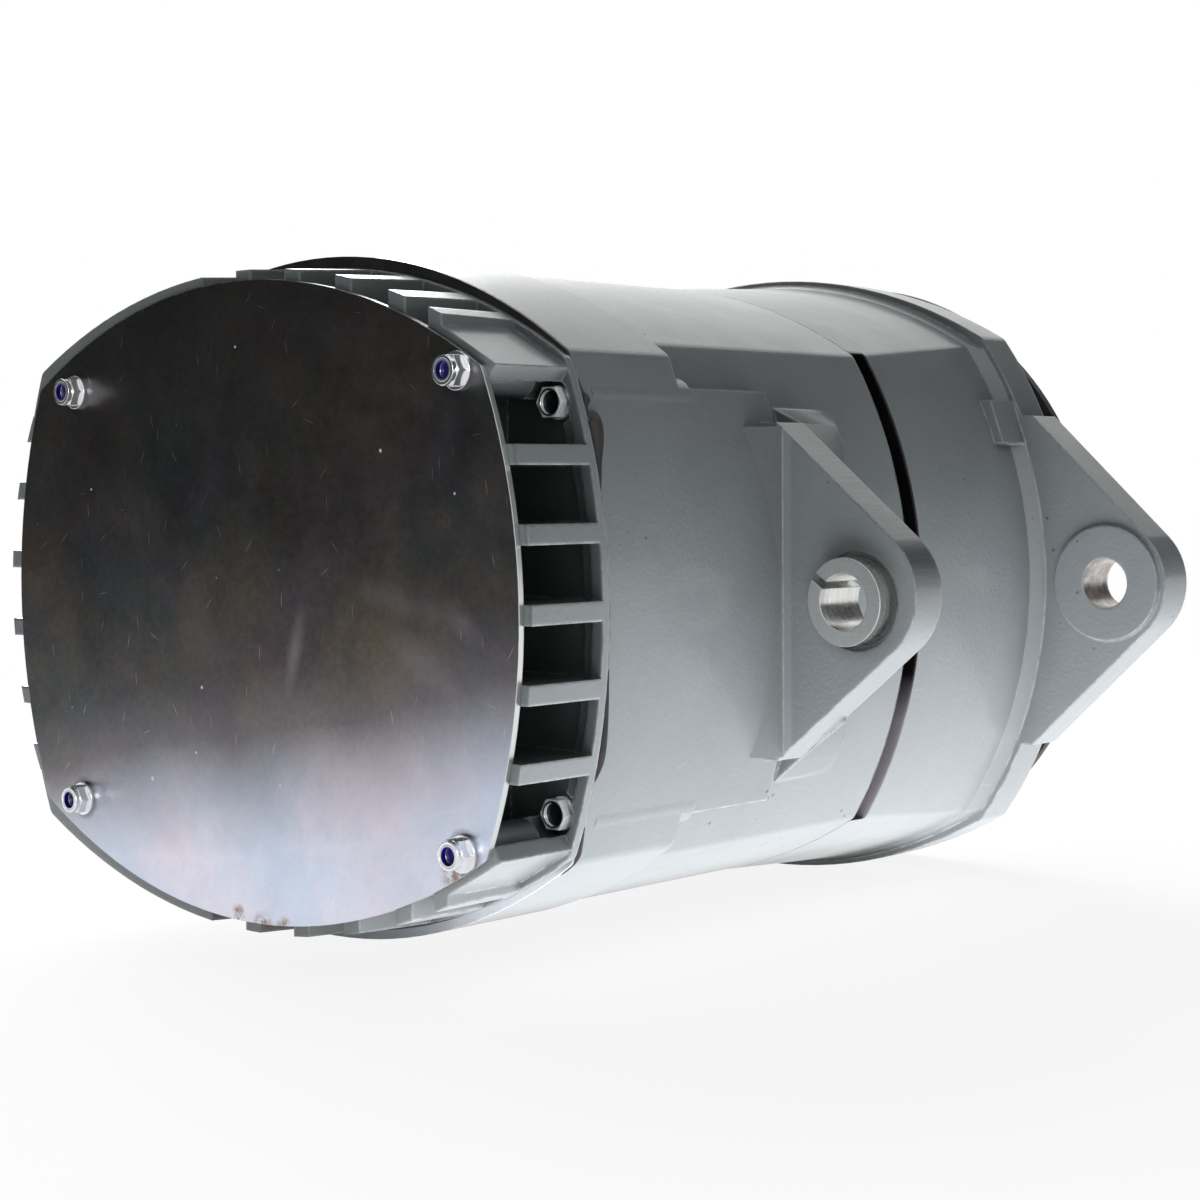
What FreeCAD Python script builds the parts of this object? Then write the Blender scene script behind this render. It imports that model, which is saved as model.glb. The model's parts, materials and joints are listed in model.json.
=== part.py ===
import FreeCAD, Part
import math
import os
import Sketcher

# Enclosed hinge-mount alternator.
# The shaft lies along Y. The drive end points to -Y, the cover plate to +Y, and +Z is up.
# The mounting lugs reach out to -X, the adjusting ear to +X.
# Stations are distances from the outer face of the cover plate toward the drive end.
# The origin is the middle of the pulley seat on the shaft's axis.

SIZES = {
    # Cover plate and what fastens it
    "plate_half_width": 90.8,
    "plate_side_radius": 135.0,
    "plate_half_height": 75.3,
    "plate_top_radius": 152.0,
    "plate_corner": 2.0,
    "plate_thickness": 1.5,
    "stud_near_x": 73.7,
    "stud_far_x": 64.2,
    "stud_edge_gap": 4.74,
    "stud_radius": 2.0,
    "stud_stick_out": 3.2,
    "stud_depth": 14.0,
    "post_radius": 5.6,
    "nut_flange_radius": 4.2,
    "nut_flange_thickness": 1.0,
    "nut_across_flats": 6.5,
    "nut_height": 3.6,
    "insert_outer_radius": 2.5,
    "nut_collar_wall": 0.7,
    "insert_length": 1.3,
    # Finned ring
    "ring_half_width": 93.0,
    "ring_side_radius": 147.0,
    "ring_half_height": 79.4,
    "ring_top_radius": 150.0,
    "ring_rear_half_height": 77.8,
    "ring_rear_top_radius": 170.0,
    "ring_corner": 3.0,
    "ring_far_half_width": 97.0,
    "ring_far_radius": 101.0,
    "ring_far_half_height": 46.0,
    "lip_station": 23.6,
    "ledge_station": 24.9,
    "joint_station": 25.7,
    "floor_station": 26.5,
    "floor_thickness": 3.0,
    "lip_width": 3.2,
    "ledge_width": 3.3,
    "side_rib_pitch": 16.8,
    "far_rib_pitch": 17.8,
    "side_rib_thickness": 4.4,
    "top_rib_first": 0.5,
    "top_rib_pitch": 17.5,
    "top_rib_thickness": 5.2,
    "corner_wall_high_x": 67.0,
    "corner_wall_high_z": 61.6,
    "corner_wall_low_x": 83.4,
    "corner_wall_low_z": 52.6,
    "corner_wall_thickness": 4.0,
    "corner_wall_floor": 2.8,
    "corner_wall_inset_x": 2.4,
    "corner_wall_inset_z": 3.2,
    "far_wall_low_z": 39.4,
    "far_wall_end_x": 15.0,
    "bay_half_width": 58.0,
    "bay_half_height": 54.0,
    "bay_side_radius": 150.0,
    "bay_top_radius": 200.0,
    "bay_corner": 8.0,
    "bay_wall": 4.0,
    "ring_bolt_x": 78.5,
    "ring_bolt_z": 45.2,
    "ring_bolt_radius": 2.0,
    "ring_bolt_flange_radius": 3.8,
    "ring_bolt_flange_thickness": 1.0,
    "ring_bolt_across_flats": 6.6,
    "ring_bolt_head_height": 4.0,
    "ring_bolt_dish": 0.9,
    "ring_bolt_dish_radius": 2.6,
    "ring_bolt_depth": 14.0,
    "ring_boss_radius": 6.5,
    "ring_socket_radius": 5.1,
    "near_socket_station": 18.0,
    "gasket_thickness": 0.8,
    "gasket_width": 2.2,
    # Rear housing
    "collar_half_width": 92.3,
    "collar_side_radius": 147.0,
    "collar_half_height": 82.3,
    "collar_top_radius": 140.0,
    "collar_end": 60.0,
    "drum_half_width": 92.0,
    "drum_side_radius": 112.0,
    "drum_half_height": 81.3,
    "drum_top_radius": 140.0,
    "housing_corner": 4.0,
    "side_pad_end": 92.0,
    "side_pad_half_height": 49.0,
    "wall": 5.0,
    "mouth_wall": 3.0,
    "mouth_clearance": 0.3,
    "mouth_floor_gap": 0.5,
    "split_station": 140.0,
    "groove_width": 5.4,
    "groove_inner_x": 68.0,
    "groove_half_height": 60.5,
    "bulkhead_station": 64.0,
    "bulkhead_thickness": 6.0,
    # Hinge lugs
    "hinge_x": 114.0,
    "rear_lug_station": 87.0,
    "rear_lug_thickness": 10.4,
    "rear_lug_nose": 16.4,
    "rear_lug_rise": 1.5,
    "rear_lug_root_z": 40.0,
    "lug_gap": 101.6,
    "front_lug_nose": 17.0,
    "lug_root_x": 91.0,
    "front_lug_root_z": 45.0,
    "lug_inner_x": 80.0,
    "root_wedge_length": 8.0,
    "root_wedge_x": 92.8,
    "root_wedge_start_x": 86.0,
    "root_wedge_half_height": 39.0,
    "gusset_length": 23.0,
    "gusset_reach_x": 104.0,
    "gusset_reach_z": 29.0,
    "gusset_low_z": 26.0,
    "gusset_top_x": 82.4,
    "gusset_top_z": 45.3,
    "gusset_end_x": 85.7,
    "gusset_end_low_z": 37.0,
    "gusset_end_drop": 3.2,
    "lug_block_low_x": 88.8,
    "lug_block_high_x": 84.6,
    "lug_block_low_z": 37.5,
    "lug_block_high_z": 49.3,
    "lug_block_length": 11.0,
    "hinge_hole_radius": 6.6,
    "hinge_boss_radius": 15.4,
    "hinge_boss_rise": 1.4,
    "bush_radius": 10.2,
    "bush_bore": 6.6,
    "bush_clearance": 0.05,
    "bush_stick_out": 5.2,
    "bush_front_gap": 0.4,
    "bush_slot": 2.0,
    "bush_slot_angle": 34.5,
    "bush_recess_radius": 11.5,
    "bush_recess_depth": 1.2,
    # Drive-end housing
    "flare_half_width": 92.5,
    "flare_half_height": 84.8,
    "flange_half_width": 97.0,
    "flange_side_radius": 112.0,
    "flange_half_height": 87.0,
    "flange_top_radius": 150.0,
    "flange_corner": 4.0,
    "flange_thickness": 11.6,
    "flange_fillet_length": 4.0,
    "flange_fillet_half_width": 95.2,
    "flange_fillet_half_height": 85.8,
    "flange_fillet_inset": 0.3,
    "front_wall": 14.0,
    "front_recess_depth": 4.5,
    "front_recess_outer": 74.0,
    "front_boss_radius": 46.0,
    "front_rib_count": 8,
    "front_rib_thickness": 6.0,
    "ear_x": 112.0,
    "ear_z": 0.0,
    "ear_nose": 13.0,
    "ear_root_z": 21.0,
    "ear_hole_radius": 5.0,
    # Stator
    "core_outer_radius": 75.0,
    "core_inner_radius": 52.6,
    "core_length": 62.0,
    "slot_count": 36,
    "slot_width": 3.2,
    "slot_depth_radius": 66.0,
    "bar_clearance": 0.15,
    "winding_inner_radius": 54.0,
    "winding_overhang": 14.0,
    "pocket_inner_radius": 79.0,
    "pocket_half_height": 40.0,
    "pocket_floor": 6.0,
    "inner_bore_radius": 70.0,
    "through_bolt_x": 62.0,
    "through_bolt_z": 50.0,
    "through_bolt_radius": 3.0,
    "through_bolt_clearance": 0.3,
    "through_bolt_head_radius": 5.5,
    "through_bolt_head_height": 5.0,
    "through_bolt_reach": 48.0,
    "screw_head_ratio": 1.8,
    # Front bearing, 25 x 62 x 17
    "front_bearing_outer": 31.0,
    "front_bearing_inner": 12.5,
    "front_bearing_width": 17.0,
    "front_bearing_station": 190.0,
    "front_race_thickness": 5.2,
    "front_ball_radius": 5.5,
    "front_ball_count": 8,
    "front_bearing_boss": 42.0,
    "front_lip_radius": 25.0,
    "retainer_thickness": 3.0,
    "retainer_screw_radius": 1.9,
    "retainer_screw_circle": 36.5,
    "retainer_screw_depth": 10.0,
    # Rear bearing, 17 x 40 x 12
    "rear_bearing_outer": 20.0,
    "rear_bearing_inner": 8.5,
    "rear_bearing_width": 12.0,
    "rear_race_thickness": 3.2,
    "rear_ball_radius": 3.3,
    "rear_ball_count": 8,
    "rear_boss_radius": 26.0,
    "rear_boss_wall": 3.0,
    "rear_shaft_gap": 1.0,
    "race_groove_clearance": 0.15,
    "cage_thickness": 1.4,
    "cage_clearance": 0.4,
    # Shaft and pulley seat
    "pulley_seat_radius": 11.11,
    "pulley_seat_length": 44.0,
    "shaft_collar_radius": 15.5,
    "shaft_collar_length": 14.0,
    "thread_radius": 8.0,
    "thread_length": 22.0,
    "shaft_edge": 1.0,
    "bore_clearance": 0.05,
    "key_width": 4.8,
    "key_radius": 9.5,
    "key_above": 3.6,
    "spacer_radius": 16.0,
    "spacer_seat_radius": 11.8,
    "spacer_seat_gap": 0.5,
    # Fan
    "fan_station": 239.5,
    "fan_thickness": 2.5,
    "fan_radius": 87.0,
    "fan_blade_root": 50.0,
    "fan_blade_depth": 19.0,
    "fan_blade_thickness": 2.0,
    "fan_blade_count": 12,
    "fan_blade_lean": 24.0,
    # Rotor poles
    "rotor_radius": 52.0,
    "claw_inner_radius": 44.0,
    "claw_count": 6,
    "claw_root_half_width": 11.0,
    "claw_tip_half_width": 6.0,
    "front_pole_thickness": 14.0,
    "rear_pole_thickness": 12.0,
    "rear_pole_station": 106.0,
    "claw_tip_gap": 2.0,
    "claw_inner_gap": 6.0,
    "pole_hub_radius": 23.3,
    "pole_disc_radius": 38.0,
    "rear_pole_bore": 39.5,
    "joining_ring_thickness": 3.5,
    "joining_ring_width": 8.0,
    # Field coil and its carrier
    "carrier_air_gap": 0.7,
    "carrier_flange_radius": 46.0,
    "carrier_flange_thickness": 5.0,
    "carrier_neck_radius": 31.0,
    "carrier_sleeve_radius": 27.0,
    "coil_outer_radius": 38.0,
    "coil_end_gap": 4.0,
    "carrier_screw_circle": 40.0,
    "carrier_screw_radius": 2.5,
    "carrier_screw_depth": 5.0,
    # Electronics in the rear bay
    "rectifier_near_x": 20.0,
    "rectifier_far_x": 68.0,
    "rectifier_low_z": 8.0,
    "rectifier_high_z": 46.0,
    "rectifier_thickness": 4.0,
    "rectifier_stand_off": 12.0,
    "rectifier_insulator": 2.0,
    "rectifier_boss_radius": 5.0,
    "rectifier_screw_radius": 2.0,
    "rectifier_screw_inset": 8.0,
    "diode_radius": 6.35,
    "diode_height": 7.0,
    "diode_pitch": 18.0,
    "strap_thickness": 1.5,
    "strap_half_width": 5.0,
    "strap_lap": 5.0,
    "regulator_low_x": 34.0,
    "regulator_high_x": 68.0,
    "regulator_half_height": 28.0,
    "regulator_thickness": 18.0,
    "regulator_ear": 9.0,
    "regulator_ear_thickness": 4.0,
    "regulator_screw_radius": 2.0,
    # Terminals on the far side of the rear housing
    "terminal_station": 46.0,
    "output_stud_radius": 4.0,
    "output_tip_radius": 3.0,
    "output_stud_length": 26.0,
    "output_head_radius": 6.5,
    "output_head_thickness": 4.0,
    "terminal_rise": 1.0,
    "terminal_boss_radius": 13.0,
    "insulator_radius": 7.0,
    "insulator_barrel": 6.5,
    "insulator_flange_radius": 11.0,
    "insulator_flange_thickness": 4.0,
    "output_nut_across_flats": 13.0,
    "output_nut_height": 6.5,
    "output_washer_radius": 8.0,
    "output_washer_thickness": 1.6,
    "ground_z": 30.0,
    "ground_screw_radius": 3.0,
    "ground_boss_radius": 7.5,
    "ground_screw_head_radius": 6.0,
    "ground_screw_head_height": 4.0,
    "ground_screw_depth": 11.0,
}

FULL_TURN = 360.0
HALF_TURN = 180.0
ACROSS_CORNERS = 1.0 / math.cos(math.pi / 6.0)
SPARE = 30.0


class Size(float):
    """A length together with the formula that gives it from the sheet's cells."""

    def __new__(cls, value, formula=None):
        number = float.__new__(cls, value)
        number.formula = formula or repr(float(value))
        return number

    def __add__(self, other):
        return Size(float(self) + float(other), "(%s + %s)" % (self.formula, written(other)))

    def __radd__(self, other):
        return Size(float(other) + float(self), "(%s + %s)" % (written(other), self.formula))

    def __sub__(self, other):
        return Size(float(self) - float(other), "(%s - %s)" % (self.formula, written(other)))

    def __rsub__(self, other):
        return Size(float(other) - float(self), "(%s - %s)" % (written(other), self.formula))

    def __mul__(self, other):
        return Size(float(self) * float(other), "(%s * %s)" % (self.formula, written(other)))

    def __rmul__(self, other):
        return self * other

    def __truediv__(self, other):
        return Size(float(self) / float(other), "(%s / %s)" % (self.formula, written(other)))

    def __neg__(self):
        return Size(-float(self), "(-1 * %s)" % self.formula)


def written(value):
    """The formula of a size, or a plain number as text."""
    return value.formula if isinstance(value, Size) else repr(float(value))


def root(size):
    """The square root of a size."""
    return Size(math.sqrt(float(size)), "sqrt(%s)" % size.formula)


class Sizes:
    """The driving dimensions as attributes, each tied to its cell in the sheet."""

    def __init__(self, doc):
        sheet = doc.addObject("Spreadsheet::Sheet", "Sizes")
        for row, (name, value) in enumerate(SIZES.items(), start=1):
            sheet.set("A%d" % row, name)
            sheet.set("B%d" % row, str(value))
            sheet.setAlias("B%d" % row, name)
            setattr(self, name, Size(value, "Sizes.%s" % name))


doc = FreeCAD.newDocument("Alternator")
s = Sizes(doc)
doc.recompute()

# Stations and radii that follow from the driving dimensions
housing_mouth = s.joint_station + s.gasket_thickness
floor_end = s.floor_station + s.floor_thickness
bulkhead_end = s.bulkhead_station + s.bulkhead_thickness
rear_lug_end = s.rear_lug_station + s.rear_lug_thickness
front_boss_station = rear_lug_end + s.lug_gap
flange_station = front_boss_station + s.hinge_boss_rise
flange_end = flange_station + s.flange_thickness
groove_end = s.split_station + s.groove_width
core_station = s.split_station + s.core_length / 2 - s.core_length + 1
core_end = core_station + s.core_length
rear_bearing_station = bulkhead_end - s.rear_bearing_width
front_bearing_end = s.front_bearing_station + s.front_bearing_width
collar_station = s.front_bearing_station - s.shaft_collar_length
front_pole_station = collar_station - s.front_pole_thickness
rear_pole_end = s.rear_pole_station + s.rear_pole_thickness
fan_end = s.fan_station + s.fan_thickness
seat_station = fan_end
seat_end = seat_station + s.pulley_seat_length
shaft_end = seat_end + s.thread_length
rear_face_y = seat_station + s.pulley_seat_length / 2
carrier_station = bulkhead_end
sleeve_inner_radius = s.pole_hub_radius + s.carrier_air_gap
terminal_seat_x = s.collar_half_width + s.terminal_rise
plate_edge_z = (s.plate_half_height - s.plate_top_radius
                + root(s.plate_top_radius * s.plate_top_radius - s.stud_near_x * s.stud_near_x))
stud_height = plate_edge_z - s.stud_edge_gap

made = []


def origin_of(body, role):
    """One plane or axis of the body's own origin."""
    return next(f for f in body.Origin.OriginFeatures if f.Role == role)


def tie(item, prop, size):
    """Bind one property to the sheet."""
    item.setExpression(prop, written(size))


def blank(label):
    """A body that is only a stage of a sub-part. Its local origin is the cover plate's outer face."""
    body = doc.addObject("PartDesign::Body", label)
    body.Label = label
    body.Placement = FreeCAD.Placement(FreeCAD.Vector(0, float(rear_face_y), 0), FreeCAD.Rotation())
    tie(body, "Placement.Base.y", rear_face_y)
    return body


def new_body(label):
    """A body that is a sub-part in itself."""
    body = blank(label)
    made.append(body)
    return body


def new_sketch(body, role, depth=0.0):
    """A sketch on an origin plane, moved along the plane's normal."""
    sketch = body.newObject("Sketcher::SketchObject", "Sketch")
    sketch.AttachmentSupport = [(origin_of(body, role), "")]
    sketch.MapMode = "FlatFace"
    sketch.AttachmentOffset = FreeCAD.Placement(FreeCAD.Vector(0, 0, float(depth)), FreeCAD.Rotation())
    tie(sketch, "AttachmentOffset.Base.z", depth)
    return sketch


def measure(sketch, kind, where, size):
    """Add one dimension and bind it."""
    index = sketch.addConstraint(Sketcher.Constraint(kind, *where, float(size)))
    tie(sketch, "Constraints[%d]" % index, size)


def fix_point(sketch, geometry, end, point):
    """Hold a point of the sketch at its distances from the origin."""
    for kind, size in zip(("DistanceX", "DistanceY"), point):
        if float(size) == 0.0:
            axis = -2 if kind == "DistanceX" else -1
            sketch.addConstraint(Sketcher.Constraint("PointOnObject", geometry, end, axis))
        else:
            measure(sketch, kind, (-1, 1, geometry, end), size)


def circle(x, z, radius):
    """A round loop."""
    def draw(sketch):
        centre = FreeCAD.Vector(float(x), float(z), 0)
        index = sketch.addGeometry(Part.Circle(centre, FreeCAD.Vector(0, 0, 1), float(radius)))
        measure(sketch, "Radius", (index,), radius)
        if float(x) == 0.0 and float(z) == 0.0:
            sketch.addConstraint(Sketcher.Constraint("Coincident", index, 3, -1, 1))
        else:
            fix_point(sketch, index, 3, (x, z))
    return draw


def polygon(*points):
    """A closed loop of straight lines."""
    def draw(sketch):
        vectors = [FreeCAD.Vector(float(x), float(z), 0) for x, z in points]
        lines = []
        for start, end in zip(vectors, vectors[1:] + vectors[:1]):
            lines.append(sketch.addGeometry(Part.LineSegment(start, end)))
        for line, following in zip(lines, lines[1:] + lines[:1]):
            sketch.addConstraint(Sketcher.Constraint("Coincident", line, 2, following, 1))
        for line, point in zip(lines, points):
            fix_point(sketch, line, 1, point)
    return draw


def rectangle(x_low, z_low, x_high, z_high):
    return polygon((x_low, z_low), (x_high, z_low), (x_high, z_high), (x_low, z_high))


def hexagon(x, z, across_flats):
    """A hexagon with two flats facing up and down."""
    radius = across_flats / 2 * ACROSS_CORNERS
    corners = []
    for step in range(6):
        angle = math.radians(60 * step)
        corners.append((x + radius * round(math.cos(angle), 9), z + radius * round(math.sin(angle), 9)))
    return polygon(*corners)


def crossing(centre_a, radius_a, centre_b, radius_b):
    """The upper right crossing of a circle on the X axis with one on the Z axis."""
    dx, dz = -centre_a, centre_b
    gap = math.hypot(dx, dz)
    along = (radius_a ** 2 - radius_b ** 2 + gap ** 2) / (2 * gap)
    across = math.sqrt(radius_a ** 2 - along ** 2)
    x = centre_a + (dx * along - dz * across) / gap
    z = (dz * along + dx * across) / gap
    return x, z


def shell(half_width, side_radius, half_height, top_radius, corner_radius):
    """Four shallow arcs with rounded corners, the outline of every casting here."""
    def draw(sketch):
        side_x = float(half_width - side_radius)
        top_z = float(half_height - top_radius)
        small = float(corner_radius)
        side_r, top_r = float(side_radius), float(top_radius)
        x, z = crossing(side_x, side_r - small, top_z, top_r - small)
        side_turn = math.atan2(z, x - side_x)
        top_turn = math.atan2(z - top_z, x)
        quarter = math.pi / 2
        spans = [
            (side_x, 0, side_r, -side_turn, side_turn),
            (x, z, small, side_turn, top_turn),
            (0, top_z, top_r, top_turn, 2 * quarter - top_turn),
            (-x, z, small, 2 * quarter - top_turn, 2 * quarter - side_turn),
            (-side_x, 0, side_r, 2 * quarter - side_turn, 2 * quarter + side_turn),
            (-x, -z, small, 2 * quarter + side_turn, 2 * quarter + top_turn),
            (0, -top_z, top_r, 2 * quarter + top_turn, 4 * quarter - top_turn),
            (x, -z, small, 4 * quarter - top_turn, 4 * quarter - side_turn),
        ]
        arcs = []
        for centre_x, centre_z, radius, start, end in spans:
            round_part = Part.Circle(FreeCAD.Vector(centre_x, centre_z, 0), FreeCAD.Vector(0, 0, 1), radius)
            arcs.append(sketch.addGeometry(Part.ArcOfCircle(round_part, start, end)))
        for arc, following in zip(arcs, arcs[1:] + arcs[:1]):
            sketch.addConstraint(Sketcher.Constraint("Tangent", arc, 2, following, 1))
        for place, axis, kind, offset, radius in (
                (0, -1, "DistanceX", half_width - side_radius, side_radius),
                (4, -1, "DistanceX", side_radius - half_width, side_radius),
                (2, -2, "DistanceY", half_height - top_radius, top_radius),
                (6, -2, "DistanceY", top_radius - half_height, top_radius)):
            sketch.addConstraint(Sketcher.Constraint("PointOnObject", arcs[place], 3, axis))
            measure(sketch, kind, (-1, 1, arcs[place], 3), offset)
            measure(sketch, "Radius", (arcs[place],), radius)
        for place in (1, 3, 5, 7):
            measure(sketch, "Radius", (arcs[place],), corner_radius)
    return draw


def nose(tip_x, tip_z, tip_radius, root_x, root_z, inner_x):
    """A lug that narrows from a wide root to a round nose."""
    def draw(sketch):
        high_z, low_z = tip_z + root_z, tip_z - root_z
        side = 1.0 if float(tip_x) > 0 else -1.0
        run = abs(float(tip_x)) - abs(float(root_x))
        rise = float(root_z)
        reach = math.hypot(run, rise)
        lean = math.atan2(rise, run) - math.asin(float(tip_radius) / reach)
        touch = math.pi / 2 - lean
        points = {}
        for up in (1.0, -1.0):
            points[up] = FreeCAD.Vector(
                float(tip_x) + side * float(tip_radius) * math.cos(touch),
                float(tip_z) + up * float(tip_radius) * math.sin(touch), 0)
        root_up = FreeCAD.Vector(float(root_x), float(high_z), 0)
        root_down = FreeCAD.Vector(float(root_x), float(low_z), 0)
        inner_up = FreeCAD.Vector(float(inner_x), float(high_z), 0)
        inner_down = FreeCAD.Vector(float(inner_x), float(low_z), 0)
        upper = sketch.addGeometry(Part.LineSegment(root_up, points[1.0]))
        lower = sketch.addGeometry(Part.LineSegment(points[-1.0], root_down))
        base_low = sketch.addGeometry(Part.LineSegment(root_down, inner_down))
        back = sketch.addGeometry(Part.LineSegment(inner_down, inner_up))
        base_high = sketch.addGeometry(Part.LineSegment(inner_up, root_up))
        ring = Part.Circle(FreeCAD.Vector(float(tip_x), float(tip_z), 0), FreeCAD.Vector(0, 0, 1),
                           float(tip_radius))
        if side > 0:
            tip = sketch.addGeometry(Part.ArcOfCircle(ring, -touch, touch))
            low_end, high_end = 1, 2
        else:
            tip = sketch.addGeometry(Part.ArcOfCircle(ring, math.pi - touch, math.pi + touch))
            low_end, high_end = 2, 1
        sketch.addConstraint(Sketcher.Constraint("Tangent", upper, 2, tip, high_end))
        sketch.addConstraint(Sketcher.Constraint("Tangent", lower, 1, tip, low_end))
        for line, following in ((lower, base_low), (base_low, back), (back, base_high), (base_high, upper)):
            sketch.addConstraint(Sketcher.Constraint("Coincident", line, 2, following, 1))
        fix_point(sketch, tip, 3, (tip_x, tip_z))
        measure(sketch, "Radius", (tip,), tip_radius)
        fix_point(sketch, upper, 1, (root_x, high_z))
        fix_point(sketch, lower, 2, (root_x, low_z))
        fix_point(sketch, back, 1, (inner_x, low_z))
        fix_point(sketch, back, 2, (inner_x, high_z))
    return draw


def extrude(body, kind, start, end, loops, plane="XZ_Plane"):
    sketch = new_sketch(body, plane, start)
    for draw in loops:
        draw(sketch)
    feature = body.newObject(kind, kind.split("::")[1])
    feature.Profile = sketch
    feature.Length = float(end - start)
    tie(feature, "Length", end - start)
    return feature


def pad(body, start, end, *loops):
    """Material between two stations."""
    return extrude(body, "PartDesign::Pad", start, end, loops)


def pocket(body, start, end, *loops):
    """A cut between two stations."""
    feature = extrude(body, "PartDesign::Pocket", start, end, loops)
    feature.Reversed = True
    return feature


def loft(body, kind, start, first, end, last):
    """A tapered form between two outlines."""
    sketches = []
    for depth, draw in ((start, first), (end, last)):
        sketch = new_sketch(body, "XZ_Plane", depth)
        draw(sketch)
        sketches.append(sketch)
    feature = body.newObject(kind, kind.split("::")[1])
    feature.Profile = sketches[0]
    feature.Sections = [sketches[1]]
    feature.Ruled = True
    return feature


def turned(body, kind, *points):
    """Material or a cut spun about the shaft's axis. Each point is (radius, station)."""
    sketch = new_sketch(body, "XY_Plane")
    polygon(*[(radius, -station) for radius, station in points])(sketch)
    feature = body.newObject(kind, kind.split("::")[1])
    feature.Profile = sketch
    feature.ReferenceAxis = (sketch, ["V_Axis"])
    feature.Angle = FULL_TURN
    return feature


def revolve(body, *points):
    return turned(body, "PartDesign::Revolution", *points)


def groove(body, *points):
    return turned(body, "PartDesign::Groove", *points)


def sleeve(body, inner, outer, start, end):
    """A plain ring."""
    return revolve(body, (inner, start), (outer, start), (outer, end), (inner, end))


def around(body, features, count):
    """Copies evenly spaced about the shaft's axis."""
    pattern = body.newObject("PartDesign::PolarPattern", "PolarPattern")
    pattern.Originals = features
    pattern.Axis = (origin_of(body, "Y_Axis"), [""])
    pattern.Angle = FULL_TURN
    pattern.Occurrences = int(count)
    tie(pattern, "Occurrences", count)
    body.Tip = pattern
    return pattern


def ball(body, radius, distance, station):
    """A sphere beside the shaft."""
    feature = body.newObject("PartDesign::AdditiveSphere", "Ball")
    feature.Radius = float(radius)
    tie(feature, "Radius", radius)
    feature.AttachmentSupport = [(origin_of(body, "XZ_Plane"), "")]
    feature.MapMode = "FlatFace"
    feature.AttachmentOffset = FreeCAD.Placement(
        FreeCAD.Vector(float(distance), 0, float(station)), FreeCAD.Rotation())
    tie(feature, "AttachmentOffset.Base.x", distance)
    tie(feature, "AttachmentOffset.Base.z", station)
    return feature


def four(x, z):
    """Four places, mirrored about both planes."""
    return [(x, z), (-x, z), (-x, -z), (x, -z)]


def stud_places():
    """The cover studs stand in a rectangle that is nearer the hinge side."""
    return [(-s.stud_near_x, stud_height), (s.stud_far_x, stud_height),
            (s.stud_far_x, -stud_height), (-s.stud_near_x, -stud_height)]


def plate_shell(inset=0.0):
    return shell(s.plate_half_width - inset, s.plate_side_radius - inset,
                 s.plate_half_height - inset, s.plate_top_radius - inset, s.plate_corner)


def ring_shell(inset=0.0):
    return shell(s.ring_half_width - inset, s.ring_side_radius - inset,
                 s.ring_half_height - inset, s.ring_top_radius - inset, s.ring_corner)


def collar_shell(inset=0.0, corner=None):
    return shell(s.collar_half_width - inset, s.collar_side_radius - inset,
                 s.collar_half_height - inset, s.collar_top_radius - inset,
                 s.housing_corner if corner is None else corner)


def drum_shell():
    return shell(s.drum_half_width, s.drum_side_radius, s.drum_half_height, s.drum_top_radius,
                 s.housing_corner)


def bay_shell(extra=0.0):
    return shell(s.bay_half_width + extra, s.bay_side_radius + extra,
                 s.bay_half_height + extra, s.bay_top_radius + extra, s.bay_corner + extra)


def make_cover():
    body = new_body("rear_cover_plate")
    holes = [circle(x, z, s.stud_radius) for x, z in stud_places()]
    pad(body, Size(0), s.plate_thickness, plate_shell(), *holes)

    studs = new_body("cover_studs")
    pad(studs, -s.stud_stick_out, s.plate_thickness + s.stud_depth,
        *[circle(x, z, s.stud_radius) for x, z in stud_places()])

    nuts = new_body("cover_nuts")
    flange_start = -s.nut_flange_thickness
    pad(nuts, flange_start, Size(0), *[circle(x, z, s.nut_flange_radius) for x, z in stud_places()])
    pad(nuts, -s.nut_height, flange_start,
        *[hexagon(x, z, s.nut_across_flats) for x, z in stud_places()])
    pad(nuts, -s.nut_height - s.insert_length, -s.nut_height,
        *[circle(x, z, s.insert_outer_radius + s.nut_collar_wall) for x, z in stud_places()])
    pocket(nuts, -s.nut_height - s.insert_length, Size(0),
           *[circle(x, z, s.stud_radius) for x, z in stud_places()])
    pocket(nuts, -s.nut_height - s.insert_length, -s.nut_height,
           *[circle(x, z, s.insert_outer_radius) for x, z in stud_places()])

    inserts = new_body("cover_nut_inserts")
    pad(inserts, -s.nut_height - s.insert_length, -s.nut_height,
        *[circle(x, z, s.insert_outer_radius) for x, z in stud_places()],
        *[circle(x, z, s.stud_radius) for x, z in stud_places()])


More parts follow.
